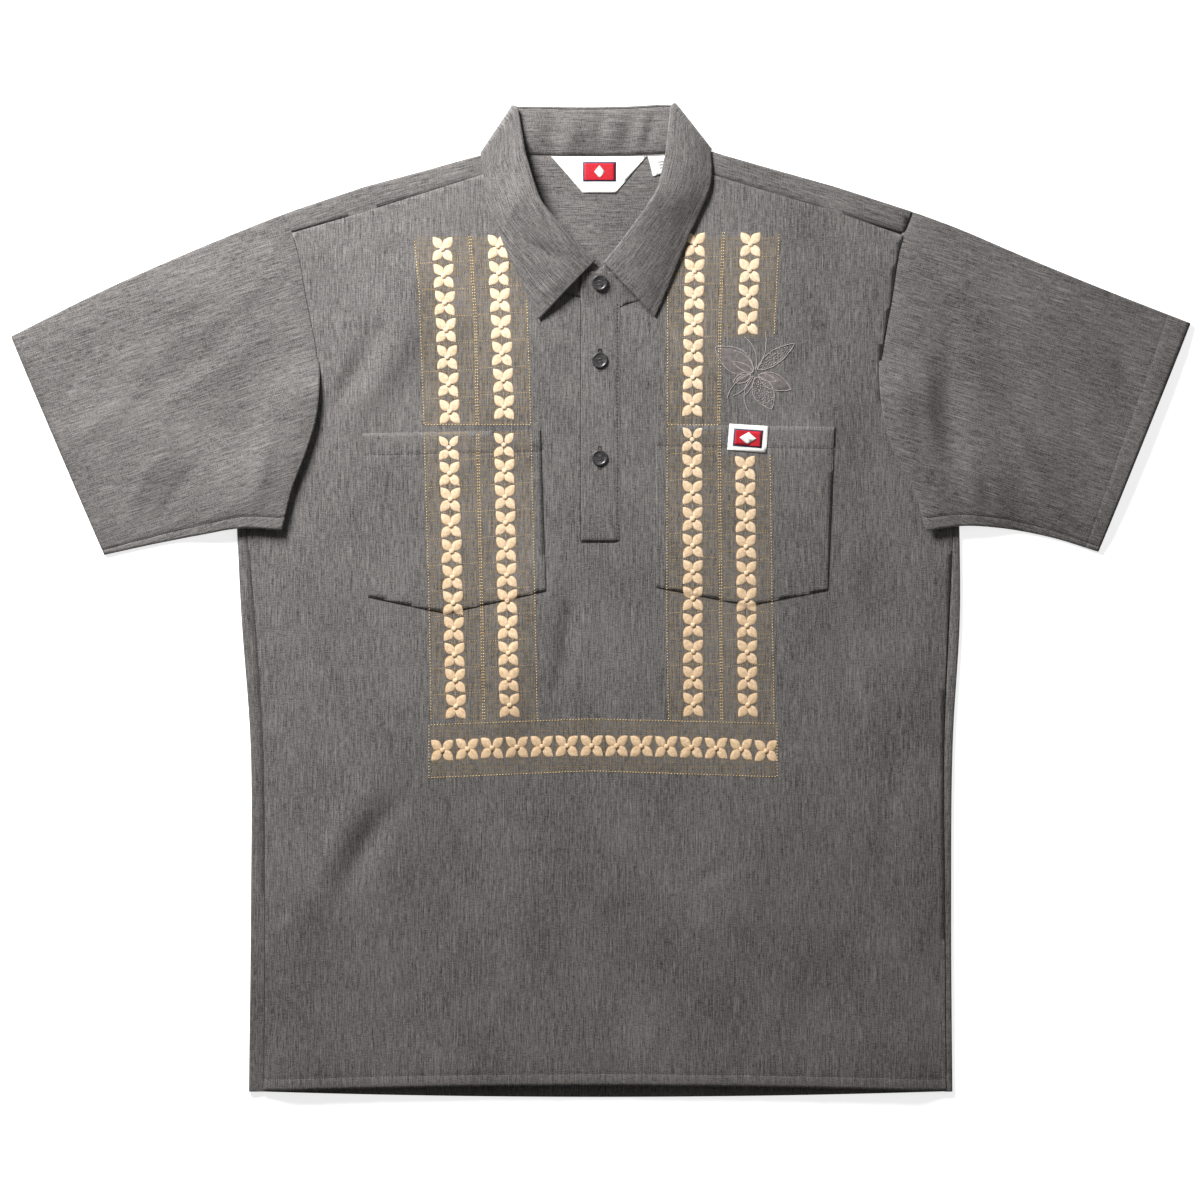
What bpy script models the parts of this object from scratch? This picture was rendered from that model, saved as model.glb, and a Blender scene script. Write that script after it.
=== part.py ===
# A barong style pullover shirt with a half placket, laid flat and face up.
# Blender 4.5, metres, +Z up. The table is z = 0, the hem is at -Y, and the origin
# is the middle of the shirt's underside. The wearer's right side is at -X.
# Tables and constants are in millimetres and become metres through MM.

import math
from collections import namedtuple

import bmesh
import bpy
from mathutils import Matrix, Vector

MM = 0.001

# ---- driving dimensions, in millimetres ----

CLOTH = 1.0  # wall of every cloth piece
SEAM_GAP = 0.3  # room between two sewn pieces
FOLD_RADIUS = 1.5  # of the cloth's middle, where a panel turns from back to front
FOLD_REACH = FOLD_RADIUS + CLOTH / 2  # from a fold's axis to its outer face
LOW_LAYER = CLOTH / 2  # middle of a layer that lies on the table
HIGH_LAYER = LOW_LAYER + 2 * FOLD_RADIUS  # middle of the layer above it

YOKE_SEAM_BACK = 250.0  # Y of the hidden seam across the back
YOKE_ARMHOLE_HEIGHTS = (270.0, 288.0, 300.0)
YOKE_FOLD_END = 306.5  # Y where the shoulder's fold meets the armhole
YOKE_FRONT_BEND = 297.0  # and Y of the two front corners below it
YOKE_FRONT_END = 293.6
HEM_SIDE = -392.8
HEM_BACK_DROP = 4.6
HEM_FRONT_RISE = 5.2
HALF_HEM = 281.0
HEM_STATIONS = range(-240, 241, 60)  # X of the points along a hem
FRONT_ARMHOLE_TOP_RIGHT = 293.5
FRONT_ARMHOLE_TOP_LEFT = 291.5

NECK_CENTRE = (-4.0, 344.5)
NECK_HALF_WIDTH = 83.0
NECK_DEPTH = 104.0
NECK_TOP_ANGLE = 88.5  # degrees round the neckline where the front meets the shoulder
NECK_RISE = 1.5  # the cloth lies this much higher beside the collar, which passes under it
NECK_RISE_FROM = 322.0
NECK_RISE_LENGTH = 18.0
NECK_RISE_HALF_WIDTH = 130.0
NECK_RISE_FADE = 30.0

SLOT_HALF_WIDTH = 13.5  # slot cut in the front for the placket
SLOT_BOTTOM = 50.0
PLACKET_LEFT, PLACKET_RIGHT, PLACKET_BOTTOM = -16.0, 15.2, 46.4
PLACKET_TOP = 240.2
UNDER_BAND_HALF_WIDTH = SLOT_HALF_WIDTH - SEAM_GAP

TUCK_TOP = 160.0  # below this the sleeve lies over the body's side
TUCK_BEND = (13.0, 98.0)  # the scoop's bend: out from the armhole at the tuck's top, and its Y
SLEEVE_LIFT = 4.6
SLEEVE_LIFT_FADE_UP = 40.0
SLEEVE_LIFT_FADE_OUT = 50.0
SLEEVE_LIFT_PAST_FOLD = 4.0  # the lift stays full this far past the body's side fold
SLEEVE_LIFT_FROM, SLEEVE_LIFT_FULL = 0.2, 0.8  # share of the way under the sleeve

BACK_SCORES_Y = (-320.0, -180.0, TUCK_TOP)  # lines that keep the back's facets short
BACK_SCORES_X = (-140.0, 0.0, 140.0)

RELIEF_CELL = 32.0  # the front's relief is flat facets on this grid, shared by what lies on it

BUTTON_DIAMETER = 12.7
BUTTON_THICKNESS = 2.2
BUTTON_RIM = 1.6
BUTTON_DISH = 0.5
BUTTON_HOLE = 1.7
BUTTON_HOLE_PITCH = 2.9
BUTTON_SEGMENTS = 32

ROLL_RADIUS = 1.5  # of the collar's roll, from the stand round to the leaf
STAND_FOLD_RADIUS = 1.5  # where the stand turns from back to front
LEAF_FOLD_AT_ROLL = 4.5
LEAF_FOLD_AT_EDGE = 3.0
LEAF_CLEARS_YOKE = 2.2  # the leaf's outer edge passes this far beyond the shoulder's fold

# ---- outlines, in millimetres ----

Side = namedtuple("Side", "y right_fold right_seam left_seam left_fold")
SIDES = (
    Side(66.0, -291.5, -284.0, 281.5, 286.5),
    Side(-10.0, -287.8, -277.5, 278.0, 287.0),
    Side(-110.0, -280.5, -271.0, 274.0, 281.4),
    Side(-250.0, -280.0, -269.3, 275.0, 280.0),
    Side(-398.0, -281.6, -270.0, 276.0, 281.0),
)

Armhole = namedtuple("Armhole", "y right left")
ARMHOLES = (
    Armhole(308.0, -254.0, 249.0),
    Armhole(295.0, -248.0, 242.9),
    Armhole(240.0, -235.5, 231.5),
    Armhole(180.0, -226.0, 223.4),
    Armhole(144.0, -228.6, 227.2),
    Armhole(114.0, -237.9, 237.2),
    Armhole(90.0, -247.2, 250.5),
    Armhole(57.0, -255.5, 260.0),
)

# The shoulder's fold and the forward seam, from the neck out to the armhole.
Shoulder = namedtuple("Shoulder", "right_x right_fold right_seam left_x left_fold left_seam")
SHOULDERS = (
    Shoulder(-84.0, 358.6, 343.7, 76.0, 361.0, 343.7),
    Shoulder(-97.8, 355.2, 339.2, 89.6, 358.0, 339.6),
    Shoulder(-191.4, 329.8, 309.6, 187.6, 330.4, 310.6),
    Shoulder(-262.0, 306.0, 291.5, 258.0, 307.6, 290.0),
)

# A sleeve's upper and lower fold, from the armhole out to its hem.
SleeveEdge = namedtuple("SleeveEdge", "along right_top right_bottom left_top left_bottom")
SLEEVES = (
    SleeveEdge(0.00, (-254.4, 308.8), (-255.5, 55.5), (249.0, 310.6), (260.5, 55.0)),
    SleeveEdge(0.15, (-286.5, 296.0), (-282.0, 57.2), (282.0, 298.4), (283.0, 58.6)),
    SleeveEdge(0.40, (-340.5, 273.4), (-318.5, 52.0), (338.0, 274.6), (318.0, 57.5)),
    SleeveEdge(0.70, (-406.5, 243.6), (-358.0, 44.5), (405.0, 247.2), (359.0, 50.2)),
    SleeveEdge(1.00, (-471.6, 210.8), (-396.8, 36.0), (471.2, 221.4), (397.4, 38.5)),
)

SLEEVE_STATIONS = (0.0, 0.05, 0.10, 0.15, 0.22, 0.30, 0.40, 0.55, 0.70, 0.85, 1.0)
SLEEVE_FACES_ACROSS = 13

# The collar's front half, from the centre front to the shoulder. "neck" is the angle round the
# neckline's half ellipse, "roll" the middle of the roll, and "edge" the leaf's outer edge.
Collar = namedtuple("Collar", "neck right_roll left_roll roll_z right_edge left_edge edge_z")
COLLAR_FRONT = (
    Collar(1.5, (-5.6, 269.2), (3.2, 267.6), 9.0, (-49.4, 223.8), (43.0, 226.0), 5.4),
    Collar(22.0, (-15.4, 277.0), (18.2, 283.2), 9.4, (-59.5, 246.0), (53.5, 250.0), 6.2),
    Collar(40.0, (-32.4, 296.4), (30.0, 298.4), 9.8, (-71.5, 270.0), (65.5, 279.5), 7.0),
    Collar(57.0, (-49.2, 315.6), (42.0, 311.6), 10.2, (-84.0, 299.5), (78.0, 307.5), 7.4),
    Collar(72.0, (-51.4, 331.4), (49.6, 328.6), 9.8, (-91.5, 320.5), (87.0, 329.5), 7.4),
    Collar(86.0, (-61.4, 356.0), (55.4, 356.4), 9.0, (-94.5, 342.0), (88.6, 345.0), 7.0),
)
# The collar's corner, where it turns from front to back: where the neck seam crosses the
# shoulder's fold, and the axis of the turn at the roll and at the leaf's outer edge.
Corner = namedtuple("Corner", "seam_x roll edge")
CORNER_RIGHT = Corner(-82.0, (-64.8, 390.4, 5.0), (-95.2, 353.4, 3.5))
CORNER_LEFT = Corner(74.0, (55.2, 392.0, 5.0), (87.4, 356.6, 3.5))
# The collar's back, from its right corner to its left one.
CollarBack = namedtuple("CollarBack", "seam roll edge")
COLLAR_BACK = (
    CollarBack((-61.0, 355.8), (-55.0, 392.9), (-82.0, 344.0)),
    CollarBack((-28.0, 355.2), (-26.0, 392.2), (-42.0, 343.0)),
    CollarBack((-1.0, 355.0), (0.0, 392.2), (-3.0, 342.6)),
    CollarBack((24.0, 355.6), (24.0, 392.8), (36.0, 343.0)),
    CollarBack((51.0, 357.0), (46.0, 394.2), (74.0, 345.0)),
)
# The stand's rounded ends, past the centre front. The left one lies on the right one.
StandEnd = namedtuple("StandEnd", "seam top top_z")
STAND_END_RIGHT = (
    StandEnd((11.6, 241.6), (11.6, 250.0), 4.7),
    StandEnd((8.6, 240.9), (8.6, 258.6), 5.9),
    StandEnd((3.0, 240.5), (3.0, 265.6), 6.9),
)
STAND_END_LEFT = (
    StandEnd((-15.4, 241.6), (-15.4, 250.0), 6.0),
    StandEnd((-12.4, 240.9), (-12.4, 256.4), 6.9),
    StandEnd((-6.0, 240.5), (-6.0, 262.6), 7.8),
)
STAND_OVERLAP = CLOTH + SEAM_GAP  # the upper end lies this much higher
STAND_LAP_ENDS = 48.5  # degrees round the neckline where the two ends are level again

# Patch pockets, from the upper outer corner round.
POCKET_RIGHT = ((-190.4, 133.1), (-48.4, 135.7), (-44.0, 7.2), (-124.0, -10.8), (-186.0, 2.5))
POCKET_LEFT = ((43.5, 140.3), (186.6, 138.1), (181.0, 7.9), (117.6, -4.5), (44.1, 10.2))
POCKET_LABEL = ((102.5, 140.7), (133.9, 138.6), (131.7, 117.1), (100.8, 119.8))
NECK_LABEL = ((-39.7, 354.4), (36.2, 354.4), (11.6, 325.4), (-14.4, 325.4))
SIZE_LABEL = ((37.6, 354.6), (41.6, 338.6), (63.0, 343.4), (58.6, 355.2))

BUTTONS_ON_BAND = ((-1.0, 191.3), (-1.0, 113.4))
BUTTON_ON_STAND = (-1.0, 253.2)

# The front's largest folds: a soft ridge at "at", along "angle" in degrees, with its half
# length, half width and height.
Ridge = namedtuple("Ridge", "at angle half_length half_width height")
RIDGES = (
    Ridge((-172.0, 214.0), 58.0, 95.0, 42.0, 4.0),
    Ridge((-72.0, -62.0), 76.0, 100.0, 40.0, 3.0),
    Ridge((-196.0, -172.0), 62.0, 130.0, 60.0, 3.5),
    Ridge((172.0, 70.0), 100.0, 120.0, 55.0, 2.0),
    Ridge((120.0, -210.0), 70.0, 150.0, 70.0, 2.5),
)
HEM_LIFT = 3.0
HEM_LIFT_LENGTH = 90.0
RELIEF_MARGIN = 48.0  # the front's relief fades in over this from its side edges
RELIEF_SIDE_FLAT = 10.0  # and is nothing this near them
RELIEF_HALF_AT_ARMHOLE = 250.0  # most half width that counts at the armhole
UNDER_SLEEVE = (262.0, 96.0, 36.0, 60.0)  # X and Y of the flat spot, its radius and its fade
RELIEF_NECK_RADIUS = 130.0
RELIEF_SHOULDER_FLAT = 12.0
RELIEF_FADE = 40.0  # near the neck, the shoulders and the placket
PLACKET_FLAT_REACH = 64.0
PLACKET_FLAT_FROM = 60.0

COLOURS = {
    # sRGB colour, roughness
    "cloth": ((0.43, 0.42, 0.41), 0.9),
    "label": ((0.93, 0.93, 0.91), 0.7),
    "button": ((0.20, 0.20, 0.21), 0.35),
}


# ---- reading the tables ----


def ramp(t):
    """0 below 0, 1 above 1, smooth between."""
    t = min(max(t, 0.0), 1.0)
    return t * t * (3 - 2 * t)


def blend(a, b, t):
    """The value, or the point, at share t of the way from a to b."""
    if isinstance(a, (int, float)):
        return a + (b - a) * t
    return tuple(blend(p, q, t) for p, q in zip(a, b))


def read(table, key, column, at):
    """Straight interpolation of a column of a table, by its key column."""
    rows = sorted(table, key=lambda row: getattr(row, key))
    keys = [getattr(row, key) for row in rows]
    i = 0
    while i < len(rows) - 2 and at > keys[i + 1]:
        i += 1
    t = (at - keys[i]) / (keys[i + 1] - keys[i])
    return blend(getattr(rows[i], column), getattr(rows[i + 1], column), t)


def side_x(side, part, y):
    return read(SIDES, "y", f"{side}_{part}", y)


def armhole_x(side, y):
    return read(ARMHOLES, "y", side, y)


def shoulder_y(part, x):
    """Y of the shoulders' fold or seam, straight across between the two necks' points."""
    near = SHOULDERS[0]
    if near.right_x < x < near.left_x:
        t = (x - near.right_x) / (near.left_x - near.right_x)
        return blend(getattr(near, f"right_{part}"), getattr(near, f"left_{part}"), t)
    side = "right" if x < 0 else "left"
    return read(SHOULDERS, f"{side}_x", f"{side}_{part}", x)


def outward(side):
    return -1 if side == "right" else 1


def underarm_arc(side, steps):
    """The body's scoop under the sleeve, from the armhole's table down to the side fold."""
    start = (armhole_x(side, TUCK_TOP), TUCK_TOP)
    bend = (start[0] + outward(side) * TUCK_BEND[0], TUCK_BEND[1])
    end = (side_x(side, "fold", SIDES[0].y), SIDES[0].y)
    points = []
    for i in range(1, steps + 1):
        t = i / steps
        points.append(blend(blend(start, bend, t), blend(bend, end, t), t))
    return points


def neckline(degrees):
    turn = math.radians(degrees)
    x = NECK_CENTRE[0] + NECK_HALF_WIDTH * math.sin(turn)
    return x, NECK_CENTRE[1] - NECK_DEPTH * math.cos(turn)


def neck_angles():
    """The collar's stations round the front neckline, with one halfway between each two."""
    angles = [row.neck for row in COLLAR_FRONT]
    return sorted(angles + [(a + b) / 2 for a, b in zip(angles, angles[1:])])


def hem_y(x, middle_change):
    return HEM_SIDE + middle_change * (1 - min(abs(x) / HALF_HEM, 1.0) ** 2)


# ---- heights, in millimetres ----


def neck_rise(x, y):
    up = min(max((y - NECK_RISE_FROM) / NECK_RISE_LENGTH, 0.0), 1.0)
    across = (NECK_RISE_HALF_WIDTH - abs(x - NECK_CENTRE[0])) / NECK_RISE_FADE
    return NECK_RISE * up * min(max(across, 0.0), 1.0)


def ridge_height(ridge, x, y):
    turn = math.radians(ridge.angle)
    dx, dy = x - ridge.at[0], y - ridge.at[1]
    along = (dx * math.cos(turn) + dy * math.sin(turn)) / ridge.half_length
    across = (dy * math.cos(turn) - dx * math.sin(turn)) / ridge.half_width
    return ridge.height * math.exp(-2 * (along**2 + across**2))


def relief_at_node(x, y):
    """The front's height over its lowest, on the grid's own points."""
    folds = sum(ridge_height(ridge, x, y) for ridge in RIDGES)
    lift = HEM_LIFT * ramp((HEM_SIDE + HEM_LIFT_LENGTH - y) / HEM_LIFT_LENGTH)
    armhole = min(abs(armhole_x("right", max(y, TUCK_TOP))), RELIEF_HALF_AT_ARMHOLE)
    half = armhole if y > 0 else abs(side_x("right", "seam", y))
    side = ramp((half - RELIEF_SIDE_FLAT - abs(x)) / RELIEF_MARGIN)
    spot_x, spot_y, spot_radius, spot_fade = UNDER_SLEEVE
    under_sleeve = ramp((math.hypot(abs(x) - spot_x, y - spot_y) - spot_radius) / spot_fade)
    beside_placket = ramp((PLACKET_FLAT_REACH - abs(x)) / RELIEF_FADE)
    placket = 1 - beside_placket * ramp((y - PLACKET_FLAT_FROM) / PLACKET_FLAT_FROM)
    from_neck = math.hypot(x - NECK_CENTRE[0], y - NECK_CENTRE[1])
    neck = ramp((from_neck - RELIEF_NECK_RADIUS) / RELIEF_FADE)
    shoulder = ramp((shoulder_y("seam", x) - RELIEF_SHOULDER_FLAT - y) / RELIEF_FADE)
    return (folds * placket * neck * shoulder * under_sleeve + lift) * side


def relief(x, y):
    """The front's height over its lowest: flat facets between the grid's points."""
    column, row = math.floor(x / RELIEF_CELL), math.floor(y / RELIEF_CELL)
    fx, fy = x / RELIEF_CELL - column, y / RELIEF_CELL - row

    def node(i, j):
        return relief_at_node((column + i) * RELIEF_CELL, (row + j) * RELIEF_CELL)

    low, high = node(0, 0), node(1, 1)
    if fx >= fy:
        corner = node(1, 0)
        return low + fx * (corner - low) + fy * (high - corner)
    corner = node(0, 1)
    return low + fy * (corner - low) + fx * (high - corner)


def front_z(x, y):
    """The middle of the front's wall."""
    return HIGH_LAYER + neck_rise(x, y) + relief(x, y)


def sleeve_lift(side, x, y):
    """How far the sleeve is held up where the body's side lies under it."""
    fold = side_x(side, "fold", SIDES[0].y)
    half = abs(fold - armhole_x(side, TUCK_TOP))
    inside = (fold - x) * outward(side)
    down = max(TUCK_TOP - y, 0.0) / (TUCK_TOP - SIDES[0].y)
    reach = math.hypot(max(inside, 0.0) / half, down)
    lift = SLEEVE_LIFT * ramp((reach - SLEEVE_LIFT_FROM) / (SLEEVE_LIFT_FULL - SLEEVE_LIFT_FROM))
    lift *= 1 - ramp((y - TUCK_TOP) / SLEEVE_LIFT_FADE_UP)
    return lift * (1 - ramp((-inside - SLEEVE_LIFT_PAST_FOLD) / SLEEVE_LIFT_FADE_OUT))


# ---- making objects ----


def linear(value):
    return value / 12.92 if value <= 0.04045 else ((value + 0.055) / 1.055) ** 2.4


def paint(obj, kind):
    colour, roughness = COLOURS[kind]
    material = bpy.data.materials.new(f"{obj.name}_{kind}")
    material.use_nodes = True
    shader = material.node_tree.nodes["Principled BSDF"]
    shader.inputs["Base Color"].default_value = (*map(linear, colour), 1.0)
    shader.inputs["Roughness"].default_value = roughness
    shader.inputs["Metallic"].default_value = 0.0
    obj.data.materials.append(material)


def finish(name, mesh_data, kind, parent):
    """A named object from a bmesh, with its own material."""
    mesh = bpy.data.meshes.new(name)
    mesh_data.to_mesh(mesh)
    mesh_data.free()
    obj = bpy.data.objects.new(name, mesh)
    bpy.context.scene.collection.objects.link(obj)
    obj.parent = parent
    paint(obj, kind)
    return obj


def thicken(obj, thickness=CLOTH):
    """Gives a sheet its wall, half to each side."""
    wall = obj.modifiers.new("wall", "SOLIDIFY")
    wall.thickness = thickness * MM
    wall.offset = 0.0
    wall.use_even_offset = True
    wall.use_rim = True
    return obj


def cut_sheet(outline, cuts):
    """A flat sheet with this outline, scored along lines, each a point and a normal."""
    sheet = bmesh.new()
    corners = [sheet.verts.new((x * MM, y * MM, 0)) for x, y in outline]
    face = sheet.faces.new(corners)
    face.normal_update()
    if face.normal.z < 0:
        face.normal_flip()
    for (x, y), normal in cuts:
        bmesh.ops.bisect_plane(
            sheet,
            geom=sheet.verts[:] + sheet.edges[:] + sheet.faces[:],
            dist=2e-5,
            plane_co=(x * MM, y * MM, 0),
            plane_no=(*normal, 0),
        )
    return sheet


def grid_cuts(outline):
    """The lines of the relief's grid that cross an outline, with their diagonals."""
    xs, ys = [p[0] for p in outline], [p[1] for p in outline]
    slants = [x - y for x, y in outline]
    cuts = []
    for values, normal in ((xs, (1, 0)), (ys, (0, 1)), (slants, (1, -1))):
        first = math.ceil(min(values) / RELIEF_CELL)
        last = math.floor(max(values) / RELIEF_CELL)
        for i in range(first, last + 1):
            place = i * RELIEF_CELL
            cuts.append(((place * normal[0], place if normal == (0, 1) else 0.0), normal))
    return cuts


def shape(sheet, mapping):
    """Moves each point of a flat sheet to where a function in millimetres puts it."""
    for vertex in sheet.verts:
        x, y, z = mapping(vertex.co.x / MM, vertex.co.y / MM)
        vertex.co = Vector((x, y, z)) * MM
    return sheet


def strip(sections, closed=False):
    """A sheet through sections, each a list of points in millimetres."""
    sheet = bmesh.new()
    rows = [[sheet.verts.new(Vector(p) * MM) for p in section] for section in sections]
    count = len(rows[0])
    for near, far in zip(rows, rows[1:]):
        for i in range(count if closed else count - 1):
            j = (i + 1) % count
            sheet.faces.new((near[i], near[j], far[j], far[i]))
    return sheet


def points_between(a, b, steps):
    """Points from a to b, both ends among them."""
    return [blend(a, b, i / steps) for i in range(steps + 1)]


# ---- body ----


def seam_line(side, inset):
    """The side seam, from the hem up to the underarm."""
    low, high = HEM_SIDE, SIDES[0].y + 0.6
    heights = [low, -250.0, -110.0, -10.0, high]
    return [(side_x(side, "seam", y) - outward(side) * inset, y) for y in heights]


def armhole_line(side, inset, top):
    """The armhole from the underarm's scoop up to the height top, moved into the body."""
    scoop = underarm_arc(side, 6)[:-1]
    rows = [row.y for row in ARMHOLES if TUCK_TOP < row.y < top]
    heights = [TUCK_TOP] + sorted(rows) + [top]
    line = [(x, y - inset) for x, y in reversed(scoop)]
    line += [(armhole_x(side, y) - outward(side) * inset, y) for y in heights]
    return line


def make_front(parent):
    inset = SEAM_GAP / 2
    hem = [(x, hem_y(x, HEM_FRONT_RISE)) for x in HEM_STATIONS]
    right = seam_line("right", inset) + armhole_line("right", inset, FRONT_ARMHOLE_TOP_RIGHT)
    left = seam_line("left", inset) + armhole_line("left", inset, FRONT_ARMHOLE_TOP_LEFT)
    shoulder_right = [(row.right_x, row.right_seam - SEAM_GAP) for row in SHOULDERS[2:0:-1]]
    shoulder_left = [(row.left_x, row.left_seam - SEAM_GAP) for row in SHOULDERS[2:0:-1]]
    slot_angle = math.degrees(math.asin(SLOT_HALF_WIDTH / NECK_HALF_WIDTH))
    angles = [NECK_TOP_ANGLE] + [angle for angle in neck_angles()[::-1] if angle > slot_angle]
    neck_right = [neckline(-angle) for angle in angles]
    neck_left = [neckline(angle) for angle in angles]
    neck_right = [(x - inset, y - inset) for x, y in neck_right]
    neck_left = [(x + inset, y - inset) for x, y in neck_left]
    slot_top = PLACKET_TOP + 2 * SEAM_GAP
    slot = [
        (-SLOT_HALF_WIDTH, slot_top),
        (-SLOT_HALF_WIDTH, SLOT_BOTTOM),
        (SLOT_HALF_WIDTH, SLOT_BOTTOM),
        (SLOT_HALF_WIDTH, slot_top),
    ]
    outline = hem + left + shoulder_left + neck_left
    outline += slot[::-1] + neck_right[::-1] + shoulder_right[::-1] + right[::-1]
    sheet = cut_sheet(outline, grid_cuts(outline))
    shape(sheet, lambda x, y: (x, y, front_z(x, y)))
    return thicken(finish("front_body", sheet, "cloth", parent))


def fold_side(a, y):
    """Lays the back's unrolled cloth: flat on the table, round the side fold, up to the seam."""
    side = "right" if a < 0 else "left"
    sign = outward(side)
    axis = side_x(side, "fold", y) - sign * FOLD_REACH
    past = abs(a) - HALF_HEM
    if past <= 0:
        return axis * abs(a) / HALF_HEM, y, LOW_LAYER
    turn = min(past / FOLD_RADIUS, math.pi)
    x = axis + sign * FOLD_RADIUS * math.sin(turn)
    z = LOW_LAYER + FOLD_RADIUS * (1 - math.cos(turn))
    return x - sign * max(past - math.pi * FOLD_RADIUS, 0.0), y, z


def unrolled(side, x, y):
    """Where a point of the back that lies on the table is on its unrolled cloth."""
    axis = side_x(side, "fold", y) - outward(side) * FOLD_REACH
    return HALF_HEM * abs(x / axis) * outward(side)


def make_back(parent):
    inset = SEAM_GAP / 2
    half_turn = math.pi * FOLD_RADIUS
    outline = [(x, hem_y(x, -HEM_BACK_DROP)) for x in HEM_STATIONS]
    for side, order in (("left", 1), ("right", -1)):
        sign = outward(side)
        flap = []
        for x, y in seam_line(side, -inset):
            axis = side_x(side, "fold", y) - sign * FOLD_REACH
            flap.append((sign * (HALF_HEM + half_turn + abs(axis - x)), y))
        flap[-1] = (flap[-1][0], SIDES[0].y - 1.0)
        edge = [(sign * (HALF_HEM + half_turn), SIDES[0].y - 0.6), (sign * HALF_HEM, SIDES[0].y)]
        scoop = [(unrolled(side, x, y), y) for x, y in armhole_line(side, inset, YOKE_SEAM_BACK)]
        outline += (flap + edge + scoop)[::order]
    turns = [HALF_HEM + half_turn * i / 4 for i in range(5)]
    cuts = [((sign * a, 0), (1, 0)) for a in turns for sign in (-1, 1)]
    cuts += [((0, row.y), (0, 1)) for row in SIDES[:-1]]
    cuts += [((0, y), (0, 1)) for y in BACK_SCORES_Y]
    cuts += [((x, 0), (1, 0)) for x in BACK_SCORES_X]
    sheet = cut_sheet(outline, cuts)
    shape(sheet, fold_side)
    return thicken(finish("back_body", sheet, "cloth", parent))


def fold_shoulder(x, b):
    """Lays the yoke's unrolled cloth: b is measured up to and past the shoulder's fold."""
    axis = shoulder_y("fold", x) - FOLD_REACH
    if b <= 0:
        y = axis + b
        return x, y, LOW_LAYER + neck_rise(x, y)
    turn = min(b / FOLD_RADIUS, math.pi)
    y = axis + FOLD_RADIUS * math.sin(turn) - max(b - math.pi * FOLD_RADIUS, 0.0)
    z = LOW_LAYER + FOLD_RADIUS * (1 - math.cos(turn))
    return x, y, z + neck_rise(x, min(y, axis))


def yoke_b(x, y, front=False):
    """The yoke's unrolled height of a point of its back or of its front."""
    axis = shoulder_y("fold", x) - FOLD_REACH
    return axis - y + math.pi * FOLD_RADIUS if front else y - axis


def make_yoke(parent):
    inset = SEAM_GAP / 2
    low = YOKE_SEAM_BACK + SEAM_GAP
    outline = []
    for side, order in (("left", 1), ("right", -1)):
        sign = outward(side)
        rows = [(getattr(row, f"{side}_x"), getattr(row, f"{side}_seam")) for row in SHOULDERS]
        seat = [(rows[i][0], yoke_b(rows[i][0], low)) for i in (0, 1, 2)]
        back = [(armhole_x(side, y) - sign * inset, y) for y in (low, *YOKE_ARMHOLE_HEIGHTS)]
        armhole = [(x, yoke_b(x, y)) for x, y in back]
        top = armhole_x(side, YOKE_FOLD_END) - sign * inset
        armhole += [(top, 0.0), (top, math.pi * FOLD_RADIUS)]
        low_x = armhole_x(side, YOKE_FRONT_BEND) - sign * inset
        outer_x = armhole_x(side, YOKE_FRONT_END) - sign * inset
        armhole += [(low_x, yoke_b(low_x, YOKE_FRONT_BEND, True))]
        armhole += [(outer_x, yoke_b(outer_x, shoulder_y("seam", outer_x), True))]
        front = [(x, yoke_b(x, y, True)) for x, y in rows[2:0:-1]]
        near = NECK_CENTRE[0] + sign * (NECK_HALF_WIDTH - SEAM_GAP)
        front += [(near, yoke_b(near, shoulder_y("seam", near), True))]
        corner = CORNER_RIGHT if side == "right" else CORNER_LEFT
        fold = [(corner.seam_x, math.pi * FOLD_RADIUS), (corner.seam_x, 0.0)]
        seams = COLLAR_BACK[:3] if side == "right" else COLLAR_BACK[:2:-1]
        fold += [(x, yoke_b(x, y - SEAM_GAP)) for x, y in (row.seam for row in seams)]
        outline += (seat + armhole + front + fold)[::order]
    half_turn = math.pi * FOLD_RADIUS
    cuts = [((0, half_turn * i / 4), (0, 1)) for i in range(5)]
    for row in SHOULDERS[:3]:
        cuts += [((row.right_x, 0), (1, 0)), ((row.left_x, 0), (1, 0))]
    for reach in (NECK_RISE_HALF_WIDTH, NECK_RISE_HALF_WIDTH - NECK_RISE_FADE):
        cuts += [((NECK_CENTRE[0] + sign * reach, 0), (1, 0)) for sign in (-1, 1)]
    sheet = cut_sheet(outline, cuts)
    for y in (NECK_RISE_FROM, NECK_RISE_FROM + NECK_RISE_LENGTH):
        score_level(sheet, y)
    shape(sheet, fold_shoulder)
    return thicken(finish("yoke", sheet, "cloth", parent))


def score_level(sheet, y):
    """Scores the yoke's unrolled back along a level line of the laid shirt, side by side."""
    lines = sorted([row.right_x for row in SHOULDERS] + [row.left_x for row in SHOULDERS])
    for low_x, high_x in zip(lines, lines[1:]):
        faces = []
        for face in sheet.faces:
            middle = face.calc_center_median() / MM
            if low_x < middle.x < high_x and middle.y < 0:
                faces.append(face)
        parts = {edge for face in faces for edge in face.edges}
        corners = {vertex for face in faces for vertex in face.verts}
        a_x, b_x = (low_x + high_x) / 2 - 1, (low_x + high_x) / 2 + 1
        rise = (yoke_b(b_x, y) - yoke_b(a_x, y)) / (b_x - a_x)
        bmesh.ops.bisect_plane(
            sheet,
            geom=list(corners) + list(parts) + faces,
            dist=2e-5,
            plane_co=(a_x * MM, yoke_b(a_x, y) * MM, 0),
            plane_no=(-rise, 1, 0),
        )


# ---- sleeves ----


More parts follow.
